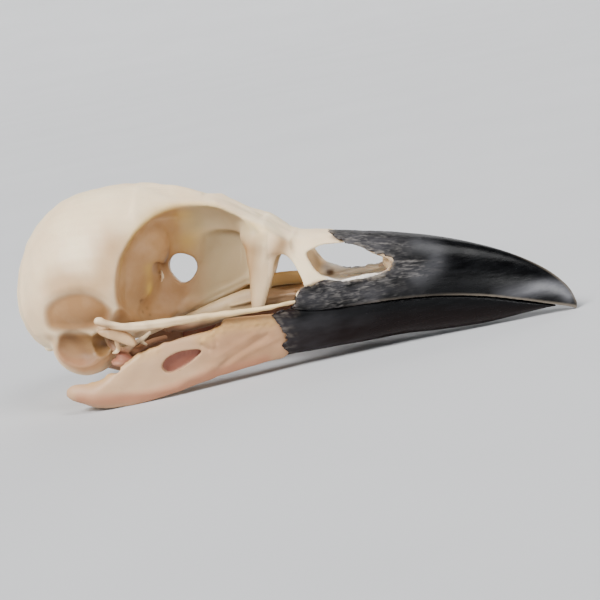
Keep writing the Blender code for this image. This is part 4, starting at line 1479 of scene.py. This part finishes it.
class CROWSKULL_OT_stage(Operator):
    """Make the pale floor, the soft lights and the camera"""

    bl_idname = "crow_skull.stage"
    bl_label = "Studio"

    def execute(self, context):
        floor = studio_floor()
        floor.data.materials.append(card_material())
        for sun in SUNS:
            add_sun(*sun)
        add_panel("Front", (0.6, -0.8, 0.045), 2.6)
        world = bpy.data.worlds.new("Pale room")
        world.use_nodes = True
        room = {"Color": context.scene.crow_skull_colours.room, "Strength": 0.2}
        set_inputs(world.node_tree.nodes["Background"], room)
        context.scene.world = world
        add_camera()
        return {"FINISHED"}


# ---------------------------------------------------------------- settings and panel


def grain(name, description, size_mm, least_mm, most_mm):
    """A size that a user would change, given in millimetres."""
    return FloatProperty(
        name=name, description=description, default=size_mm * MM, min=least_mm * MM, max=most_mm * MM,
        precision=5, unit="LENGTH",
    )


class CrowSkullSizes(PropertyGroup):
    """Sizes that a user would change."""

    head_grain: grain("Head grain", "Smallest detail that the head bone holds", 0.27, 0.2, 1.0)
    small_grain: grain("Small bone grain", "Smallest detail that the small bones hold", 0.16, 0.1, 0.5)
    horn_grain: grain("Horn grain", "Smallest detail that the sheaths hold", 0.18, 0.14, 0.5)


class CrowSkullColours(PropertyGroup):
    """Colours that a user would change."""

    ivory: colour("Ivory", "#FDE5BC", "Sunlit bone of the braincase")
    cream: colour("Cream", "#F2D5AE", "Slightly greasier bone")
    # pale: painted light where the bone gets little real light
    pale: colour("Pale", "#F1EDE6", "Painted light on bone that gets little real light")
    # tan: grease in the hollows, and painted shade there
    tan: colour("Tan", "#AE8254", "Grease and painted shade in the hollows")
    # brown: dried skin, and painted shade in the deepest corners
    brown: colour("Brown", "#644429", "Dried skin, and painted shade in the deepest corners")
    yellow: colour("Yellow", "#D9B45A", "Thin bone that lets oil show")
    # pink: painted reddish light reflected onto the lower bones
    pink: colour("Pink", "#BC7F60", "Painted reddish light reflected onto the lower bones")
    # grey: thin bone, and painted shade under the roof of the orbit
    grey: colour("Grey", "#A6936F", "Thin see-through bone, and painted shade under the roof of the orbit")
    red: colour("Red brown", "#8A5646", "Dried skin and the shaded inner face of the jaw")
    horn: colour("Horn", "#020203", "Polished keratin")
    horn_light: colour("Horn streaks", "#090A0C", "Paler grain of the keratin")
    horn_brown: colour("Horn brown", "#1A0C09", "Thin brown horn at the rear edges")
    horn_dull: colour("Dull horn", "#3C3B3E", "Dried keratin")
    chalk: colour("Chalk", "#726E6B", "Flaking scale on dried keratin")
    # painted sheen, the lamps' highlights on the horn, and rubbed horn at the tip
    worn: colour("Worn tip and sheen", "#6E6E72", "Rubbed keratin and painted sheen near the tip, painted sheen on the middle of the bill")
    edge: colour("Edge", "#8C8173", "Worn thin edge of the bill")
    floor: colour("Floor", "#C4C5C7", "Studio card")
    floor_shade: colour("Floor shade", "#C0C1C3", "Slightly darker clouds in the card")
    room: colour("Room", "#E9EBEE", "Light of the room")


class CROWSKULL_PT_panel(Panel):
    """Lists the steps that make the skull"""

    bl_label = "Crow skull"
    bl_space_type = "VIEW_3D"
    bl_region_type = "UI"
    bl_category = "Crow skull"

    def draw(self, context):
        for step in STEPS:
            self.layout.operator(step.bl_idname)
        for group in (context.scene.crow_skull_sizes, context.scene.crow_skull_colours):
            for name in group.__annotations__:
                self.layout.prop(group, name)


STEPS = (
    CROWSKULL_OT_head,
    CROWSKULL_OT_jaw,
    CROWSKULL_OT_cheeks,
    CROWSKULL_OT_hinges,
    CROWSKULL_OT_palate,
    CROWSKULL_OT_upper_horn,
    CROWSKULL_OT_lower_horn,
    CROWSKULL_OT_stage,
)
CLASSES = (CrowSkullSizes, CrowSkullColours, *STEPS, CROWSKULL_PT_panel)


def register():
    for kind in CLASSES:
        bpy.utils.register_class(kind)
    bpy.types.Scene.crow_skull_sizes = PointerProperty(type=CrowSkullSizes)
    bpy.types.Scene.crow_skull_colours = PointerProperty(type=CrowSkullColours)


def unregister():
    del bpy.types.Scene.crow_skull_colours
    del bpy.types.Scene.crow_skull_sizes
    for kind in reversed(CLASSES):
        bpy.utils.unregister_class(kind)


def main():
    register()
    for step in STEPS:
        group, name = step.bl_idname.split(".")
        getattr(getattr(bpy.ops, group), name)()


if __name__ == "__main__":
    main()
